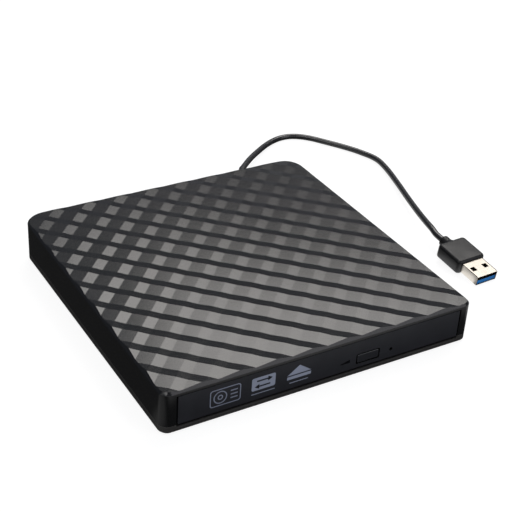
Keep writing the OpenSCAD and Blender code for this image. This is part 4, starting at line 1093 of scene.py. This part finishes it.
@dataclass(frozen=True)
class Cord:
    """Captive cord from the case's back wall to the plug, with its relief and the wires inside.

    Its points are in millimetres. Those that lie on the table give the height of the cord's underside.
    """

    diameter: float = 3 * MM
    sides: int = 20
    steps: int = 6
    exit: Triple = (51.5, 72.0, 7.6)
    sleeve: tuple[Triple, ...] = ((51.5, 72.0, 7.6), (51.5, 79.0, 7.6), (51.5, 84.0, 7.6))
    lying: tuple[Triple, ...] = (
        (52.1, 87.7, 5.9), (53.7, 91.6, 5.25), (56.7, 95.0, 4.35), (63.0, 101.3, 3.45),
        (69.1, 106.9, 2.55), (76.0, 112.5, 1.7), (82.7, 117.6, 0.95), (88.7, 121.3, 0.45),
        (94.0, 123.6, 0.15), (98.0, 124.4, 0.05), (101.7, 124.2, 0.05), (105.0, 123.1, 0.05),
        (108.1, 121.2, 0.05), (110.6, 119.0, 0.05), (113.3, 115.9, 0.05), (116.0, 112.0, 0.05),
        (119.4, 107.0, 0.05), (123.0, 101.5, 0.05), (126.5, 95.4, 0.05), (129.0, 89.8, 0.05),
        (130.9, 84.7, 0.05), (131.5, 79.1, 0.1), (130.4, 72.0, 0.25), (128.2, 63.4, 0.5),
        (124.0, 50.5, 1.2), (119.2, 37.2, 2.25), (114.6, 24.4, 3.45), (111.2, 14.5, 4.45),
        (108.8, 6.9, 5.2), (107.3, 1.0, 5.5))
    plug_end: tuple[Triple, ...] = ((106.325, -3.921, 6.578), (106.611, -8.876, 5.979))
    wires_in_it: int = 4
    wire_r: float = 0.35 * MM
    wire_start: float = 2.0 * MM
    wire_edge: float = 1.6 * MM
    wire_sink: float = 0.3 * MM
    wire_fan: float = 0.2
    wire_steps: int = 8
    wire_sides: int = 10

    def path(self) -> Points:
        """The cord's middle line.

        Returns:
            Points along it, in metres.
        """
        lying = np.array(self.lying) + [0, 0, self.diameter / MM / 2]
        route = np.concatenate([np.array(self.sleeve), lying, np.array(self.plug_end)])
        return smooth_line(route * MM, self.steps)

    def wires(self) -> Thing:
        """Wires that fan out from the relief to the connector, as thin tubes with a slight bow.

        Returns:
            The wires, as one piece.
        """
        low, high = box_of("cord_connector")
        start = np.array(self.exit) * MM - ALONG * self.wire_start
        surfaces = []
        for x in np.linspace(low[0] + self.wire_edge, high[0] - self.wire_edge, self.wires_in_it):
            aside = ACROSS * (x - start[0]) * self.wire_fan
            near = start + aside
            end = np.array([x, high[1] - self.wire_sink, start[2]])
            middle = (near + end) / 2 + aside + UP * self.wire_sink
            line = smooth_line(np.array([near, middle, end]), self.wire_steps)
            surfaces.append(sweep(line, circle(self.wire_sides) * self.wire_r, UP))
        made = dress(piece("cord_wires", surfaces), Finishes.blue)
        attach(made, "case")
        return made

    def build(self) -> list[Thing]:
        """Makes the cord's tube, its relief, its wires and its plug.

        Returns:
            The pieces.
        """
        path = self.path()
        tube = piece("cord_tube", [sweep(path, circle(self.sides) * self.diameter / 2, UP)])
        dress(tube, Finishes.cord)
        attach(tube, "case")
        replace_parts(tube, "cord")
        relief, plug = Relief().build(), Plug().build()
        return [tube, relief, self.wires(), *plug]


@dataclass(frozen=True)
class Marks:
    """Plain printed marks on the front panel, in millimetres: rings, bars and arrows, with no lettering."""

    ink_t: float = 0.03
    frame_at: Pair = (-45.25, 10.7)
    frame_size: Triple = (13.2, 8.0, 1.2)
    frame_hole: Triple = (12.4, 7.2, 0.9)
    rings: tuple[Pair, ...] = ((2.9, 2.45), (1.15, 0.7))
    ring_points: int = 72
    rings_x: float = -2.2
    bars_x: Pair = (2.2, 5.2)
    bar_step: float = 1.7
    bar_half: float = 0.25
    plate_at: Pair = (-28.75, 11.5)
    plate_size: Triple = (10.4, 6.0, 0.8)
    arrow_rise: float = 1.3
    shaft: Pair = (3.0, 0.35)
    head_x: Pair = (1.9, 3.9)
    head_half: float = 1.15
    triangle_x: float = -12.75
    triangle_half: float = 5.4
    triangle_z: Pair = (10.6, 14.5)
    foot_z: Pair = (8.6, 10.0)
    line_z: Pair = (6.74, 7.06)
    plate_line: float = 5.2
    triangle_line: float = 4.2

    def plate(self, outline: Points, inner: Points | None = None, lift: float = 0.0) -> Points:
        """A thin plate on the panel between an outline and an inner line, or its middle.

        Args:
            outline: across and height of the plate's edge, going round.
            inner: the same number of points inside it, or nothing for a full plate.
            lift: how far the plate stands on another.

        Returns:
            Rings of points: inner and outer line behind, then in front, then the first again.
        """
        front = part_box("bezel")[0][1]
        if inner is None:
            inner = np.repeat(outline.mean(axis=0)[None], len(outline), axis=0)
        behind, before = front - lift * MM, front - (lift + self.ink_t) * MM
        rings = [(inner, behind), (outline, behind), (outline, before), (inner, before), (inner, behind)]
        return np.stack([
            np.column_stack([line[:, 0] * MM, np.full(len(line), y), line[:, 1] * MM]) for line, y in rings])

    def bar(self, x0: float, x1: float, z0: float, z1: float, lift: float = 0.0) -> Points:
        """A flat bar."""
        return self.plate(np.array([(x0, z0), (x1, z0), (x1, z1), (x0, z1)]), lift=lift)

    def framed_disc(self) -> list[Points]:
        """A round frame with two rings and three bars in it.

        Returns:
            Rings of points for each part.
        """
        x, z = self.frame_at
        turn = circle(self.ring_points)
        middle = np.array([x + self.rings_x, z])
        outline, hole = (round_rect(*size) + [x, z] for size in (self.frame_size, self.frame_hole))
        rings = [self.plate(turn * outer + middle, turn * inner + middle) for outer, inner in self.rings]
        heights = [z + k * self.bar_step for k in (-1, 0, 1)]
        left, right = (x + b for b in self.bars_x)
        bars = [self.bar(left, right, h - self.bar_half, h + self.bar_half) for h in heights]
        return [self.plate(outline, hole), *rings, *bars]

    def arrow(self, way: int) -> list[Points]:
        """An arrow on the plate, over its middle and to the right, or under it and to the left.

        Args:
            way: 1 or -1.

        Returns:
            Rings of points for its shaft and its head.
        """
        x, z = self.plate_at[0], self.plate_at[1] + way * self.arrow_rise
        half, thin = self.shaft
        near, tip = (x + way * h for h in self.head_x)
        head = np.array([(tip, z), (near, z + self.head_half), (near, z - self.head_half)])
        shaft = self.bar(x - half, x + half, z - thin, z + thin, self.ink_t)
        return [shaft, self.plate(head, lift=self.ink_t)]

    def build(self) -> list[Thing]:
        """Makes the three marks and the lines under two of them.

        Returns:
            The printed pieces.
        """
        x, t, half = self.plate_at[0], self.triangle_x, self.triangle_half
        plate = [
            self.plate(round_rect(*self.plate_size) + np.array(self.plate_at)),
            self.bar(x - self.plate_line, x + self.plate_line, *self.line_z)]
        low, high = self.triangle_z
        triangle = [
            self.plate(np.array([(t - half, low), (t + half, low), (t, high)])),
            self.bar(t - half, t + half, *self.foot_z),
            self.bar(t - self.triangle_line, t + self.triangle_line, *self.line_z)]
        rows = (
            ("mark_disc", self.framed_disc(), Finishes.thin_ink), ("mark_plate", plate, Finishes.ink),
            ("mark_arrows", self.arrow(1) + self.arrow(-1), Finishes.panel),
            ("mark_triangle", triangle, Finishes.ink))
        made = [dress(piece(name, surfaces), finish) for name, surfaces, finish in rows]
        for mark in made:
            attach(mark, "tray")
        return made


@dataclass(frozen=True)
class ScrewHeads:
    """Screws under the case, each with a cross recess in its head and rings of thread on its shank."""

    recess_r: float = 1.05 * MM
    recess_depth: float = 0.45 * MM
    recess_soft: float = 0.15 * MM
    slot_half: float = 0.2 * MM
    slot_soft: float = 0.12 * MM
    sides: int = 96
    face_rings: int = 28
    head_h: float = 0.9 * MM
    head_r: float = 1.7 * MM
    head_edge: float = 0.2 * MM
    edge_middle: float = 0.3
    shank_r: float = 0.9 * MM
    thread_pitch: float = 0.6 * MM
    thread_depth: float = 0.12 * MM
    tip_in: float = 0.25 * MM
    sharp_deg: float = 35.0

    def profile(self, length: float) -> Points:
        """Height and radius over the head's face, up its side, in to the shank and along it to the tip.

        The shank's radius dips by a cosine of its height, one wave for each step of the thread.

        Args:
            length: the screw's whole length.

        Returns:
            Heights and radii, the face's first.
        """
        edge, mid = self.head_edge, self.head_edge * self.edge_middle
        face_r = np.linspace(0, self.head_r - edge, self.face_rings)
        face = np.stack([np.zeros(self.face_rings), face_r], axis=1)
        side = [
            (mid, self.head_r - mid), (edge, self.head_r), (self.head_h, self.head_r),
            (self.head_h, self.shank_r)]
        along = np.arange(self.head_h + edge / 2, length - edge, self.thread_pitch / 4)
        ridge = self.thread_depth * (0.5 + 0.5 * np.cos(along / self.thread_pitch * WHOLE_TURN))
        shank = np.stack([along, self.shank_r - ridge], axis=1)
        return np.concatenate([face, side, shank, [(length, self.shank_r - self.tip_in), (length, 0.0)]])

    def surface(self, middle: Points, low: float, high: float) -> Points:
        """One screw, head down.

        The face rises into the head inside a cross: where either distance from the two middle lines is
        under the slot's half width and the radius is under the recess's own.

        Args:
            middle: middle of the screw's box.
            low: height of the head's face.
            high: height of the shank's end.

        Returns:
            Rings of points.
        """
        centre = np.array([middle[0], middle[1], low])
        points = revolve(self.profile(high - low), centre, UP, self.sides)
        face = points[:self.face_rings]
        away = np.abs(face[:, :, :2] - centre[:2])
        in_slot = np.clip((self.slot_half - away.min(axis=2)) / self.slot_soft + 0.5, 0, 1)
        in_recess = np.clip((self.recess_r - np.linalg.norm(away, axis=2)) / self.recess_soft + 0.5, 0, 1)
        face[:, :, 2] += self.recess_depth * in_slot * in_recess
        return points

    def build(self) -> list[Thing]:
        """Makes the screws that show under the case.

        Returns:
            One piece for each set.
        """
        made = []
        for node, name in (("case_screws", "case_screw_set"), ("drive_screws", "drive_screw_set")):
            low, high = box_of(node)
            surfaces = [self.surface(m, low[2], high[2]) for m in middles_by_quarter(node)]
            screws = dress(piece(name, surfaces, self.sharp_deg), Finishes.screw)
            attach(screws, "case")
            made.append(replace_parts(screws, node))
        return made


@dataclass(frozen=True)
class Case:
    """Both halves of the case, the front panel and its button."""

    wall_round: float = 0.25 * MM
    panel_round: float = 0.22 * MM
    button_round: float = 0.16 * MM
    roof_up: float = 0.9
    rim: float = 0.6 * MM

    def build(self) -> list[Thing]:
        """Makes the pieces that close the drive.

        The button's sides and the panel's openings are painted shade, and the edges of both are worn and
        carry a painted highlight.

        Returns:
            The four pieces.
        """
        low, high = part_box("bezel")
        roof = Rounding(self.wall_round, 3, crisp_up=self.roof_up)
        upper = Rounded("top_cover", "upper_shell", Finishes.case, roof).build()
        lower = Rounded("base_cover", "lower_shell", Finishes.base, Rounding(self.wall_round, 3)).build()
        plate = Rounded("bezel", "front_plate", Finishes.panel, Rounding(self.panel_round, 3)).build()
        cap = Rounded("eject_button", "button_cap", Finishes.button, Rounding(self.button_round, 3)).build()
        # Painted shade: the button's sides and the sides of the panel's openings are near-black.
        shade(cap, lambda normal, _: abs(normal.y) < SIDEWAYS)
        shade(plate, lambda normal, middle: (
            abs(normal.y) < SIDEWAYS and low[0] + self.rim < middle.x < high[0] - self.rim
            and low[2] + self.rim < middle.z < high[2] - self.rim))
        # Worn rounds with a painted highlight along the edges of the panel and the button.
        wear_and_highlight(plate)
        wear_and_highlight(cap)
        return [upper, lower, plate, cap]


@dataclass(frozen=True)
class Mechanism:
    """The drive unit's sheet metal, rails, tray, pickup and boards, with three widths of rounding."""

    moulded: float = 0.15 * MM
    sheet: float = 0.1 * MM
    fine: float = 0.08 * MM
    shade_plate_size: Triple = (26.0, 54.0, 3.0)
    shade_plate_middle: Triple = (-28.3, -36.3, 5.8)
    shade_plate_t: float = 0.2

    def rows(self) -> list[tuple[Finish, float, dict[str, str]]]:
        """Every solid of the drive unit that is shown rounded, by finish and rounding.

        Returns:
            A finish, a rounding and the names of solids and copies, in each row.
        """
        return [
            (Finishes.tray, self.moulded, {"tray": "disc_tray"}),
            (Finishes.sheet, self.sheet, {
                "drive_pan": "drive_floor", "drive_lid": "drive_roof", "sled_motor": "sled_drive"}),
            (Finishes.white, self.moulded, {
                "left_guide": "guide_left", "right_guide": "guide_right", "latch_lever": "latch_hook",
                "eject_housing": "plunger_block"}),
            (Finishes.white, self.sheet, {"cord_connector": "cord_socket"}),
            (Finishes.rail, self.sheet, {
                "left_rail": "rail_left", "right_rail": "rail_right", "spindle_motor": "motor_plate"}),
            (Finishes.rail, self.fine, {"eject_plunger": "plunger_rod"}),
            (Finishes.dull, self.sheet, {"traverse_frame": "pickup_frame"}),
            (Finishes.dull, self.fine, {
                "traverse_cover": "pickup_cover", "hub_cap": "hub_plate", "focus_magnets": "magnet_pair"}),
            (Finishes.rotor, self.sheet, {"turntable": "turntable_plate"}),
            (Finishes.rubber, self.sheet, {"turntable_ring": "friction_ring"}),
            (Finishes.dark, self.sheet, {
                "hub": "hub_core", "lens_holder": "lens_frame", "drive_connector": "main_socket",
                "bridge_connector": "rear_socket"}),
            (Finishes.chip, self.moulded, {"sled": "sled_block"}),
            (Finishes.chip, self.sheet, {
                "push_switch": "switch_body", "drive_chips": "main_chips", "bridge_chips": "rear_chips"}),
            (Finishes.coil, self.moulded, {"solenoid": "release_coil"}),
        ]

    def shade_plate(self) -> Thing:
        """Thin dark plate under the pickup's window, painted shade for the dark inside: a round rectangle
        turned an eighth of a turn, with its thickness.

        Returns:
            The plate.
        """
        flat = round_rect(*self.shade_plate_size)
        turned = np.stack([flat[:, 0] + flat[:, 1], flat[:, 1] - flat[:, 0]], axis=1) / math.sqrt(2)
        level = [(0.0, -0.5), (1.0, -0.5), (1.0, 0.5), (0.0, 0.5)]
        rings = [np.column_stack([turned * k, np.full(len(flat), self.shade_plate_t * h)]) for k, h in level]
        # Painted shade: a dark plate that keeps the floor from showing through the pickup's window.
        made = piece("pickup_shade_plate", [(np.stack(rings) + np.array(self.shade_plate_middle)) * MM])
        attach(dress(made, Finishes.dark), "tray")
        return made

    def build(self) -> list[Thing]:
        """Makes the pieces inside the case.

        Returns:
            The pieces.
        """
        copies = [
            Rounded(node, name, finish, Rounding(width)).build()
            for finish, width, names in self.rows() for node, name in names.items()]
        return [self.shade_plate(), *copies]


@dataclass(frozen=True)
class Feet:
    """Round rubber feet with a soft edge and a shallow dish."""

    edge: float = 0.25 * MM
    dish: float = 0.15 * MM
    dish_power: int = 4
    edge_steps: int = 9
    face_steps: int = 12
    sides: int = 64

    def surface(self, middle: Points, radius: float, low: float, high: float) -> Points:
        """One foot: a dished face, a quarter-round edge and a straight side, turned about its axis.

        Args:
            middle: middle of the foot's box.
            radius: the foot's radius.
            low: height of its face.
            high: height of its top.

        Returns:
            Rings of points.
        """
        turn = np.linspace(0, QUARTER_TURN, self.edge_steps)[1:]
        inner = np.linspace(0, radius - self.edge, self.face_steps)
        face = np.stack([self.dish * (1 - (inner / inner[-1]) ** self.dish_power), inner], axis=1)
        rim = np.stack([self.edge * (1 - np.cos(turn)), radius - self.edge * (1 - np.sin(turn))], axis=1)
        profile = np.concatenate([face, rim, [(high - low, radius), (high - low, 0.0)]])
        return revolve(profile, np.array([middle[0], middle[1], low]), UP, self.sides)

    def build(self) -> list[Thing]:
        """Makes the four feet.

        Returns:
            The feet, as one piece.
        """
        low, high = box_of("rubber_feet")
        middles = middles_by_quarter("rubber_feet")
        radius = float(high[0] - max(m[0] for m in middles))
        made = piece("foot_pads", [self.surface(m, radius, low[2], high[2]) for m in middles])
        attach(dress(made, Finishes.rubber), "case")
        return [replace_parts(made, "rubber_feet")]


@dataclass(frozen=True)
class Ribbon:
    """Flat cable between the main board and the tray, folded back over itself."""

    thick: float = 0.2 * MM
    fold_steps: int = 40
    leaf_points: int = 14

    def build(self) -> list[Thing]:
        """Makes the ribbon and lets its fold unroll between the case and the tray.

        The middle line is the lower leaf, a half circle round the fold and the upper leaf. The profile is
        a thin rectangle across it.

        Returns:
            The ribbon.
        """
        low, high = box_of("flat_cable")
        points = corners_of("flat_cable")
        middle = (low + high) / 2
        low_z, high_z = low[2] + self.thick / 2, high[2] - self.thick / 2
        bend_r = (high_z - low_z) / 2
        fold_y = low[1] + bend_r + self.thick / 2
        upper_end = points[points[:, 2] > high[2] - self.thick * 1.5][:, 1].max()
        turn = np.linspace(0, HALF_TURN, self.fold_steps)[1:-1]
        leaf = np.linspace(high[1], fold_y, self.leaf_points)
        back = np.linspace(fold_y, upper_end, self.leaf_points)
        y = np.concatenate([leaf, fold_y - bend_r * np.sin(turn), back])
        z = np.concatenate([
            np.full(len(leaf), low_z), low_z + bend_r * (1 - np.cos(turn)), np.full(len(back), high_z)])
        path = np.stack([np.full(len(y), middle[0]), y, z], axis=1)
        across = np.linspace(low[0], high[0], self.leaf_points) - middle[0]
        under = np.stack([np.full(len(across), -self.thick / 2), across], axis=1)
        profile = np.concatenate([under, under[::-1] * [-1, 1]])
        made = dress(piece("tray_ribbon", [sweep(path, profile, ACROSS)]), Finishes.ribbon)
        x, y_middle = float(middle[0]), float(middle[1])
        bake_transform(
            made, "case", "tray",
            start=(x, y_middle, low_z + self.thick), end=(x, y_middle, high_z - self.thick))
        return [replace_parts(made, "flat_cable")]


@dataclass(frozen=True)
class Spring:
    """Wound spring behind the eject plunger's collar."""

    turns: int = 4
    wire_r: float = 0.2 * MM
    wire_sides: int = 10
    steps: int = 28

    def build(self) -> list[Thing]:
        """Makes the helix: a circle round the axis while it moves along it, with a thin round wire.

        Returns:
            The spring.
        """
        low, high = box_of("eject_spring")
        middle = (low + high) / 2
        radius = (high[0] - low[0]) / 2 - self.wire_r
        turn = np.linspace(0, self.turns * WHOLE_TURN, self.turns * self.steps)
        along = np.linspace(low[1] + self.wire_r, high[1] - self.wire_r, len(turn))
        path = np.column_stack([middle[0] + radius * np.cos(turn), along, middle[2] + radius * np.sin(turn)])
        wire = circle(self.wire_sides) * self.wire_r
        made = dress(piece("eject_coil", [sweep(path, wire, ALONG)]), Finishes.screw)
        start, end = (middle[0], high[1], middle[2]), (middle[0], low[1], middle[2])
        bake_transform(made, "case", "plunger", start=start, end=end)
        return [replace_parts(made, "eject_spring")]


def main() -> None:
    """Builds the camera, the cord, the studio and every other piece."""
    parts = (
        PhotoCamera(), Cord(), Studio(), PlainSolids(), Case(), Mechanism(), Marks(), ScrewHeads(), Feet(),
        Ribbon(), Spring())
    for part in parts:
        for thing in part.build():
            log.info("%s: %s", type(part).__name__, thing.name)


if __name__ == "__main__":
    logging.basicConfig(level=logging.INFO)
    main()
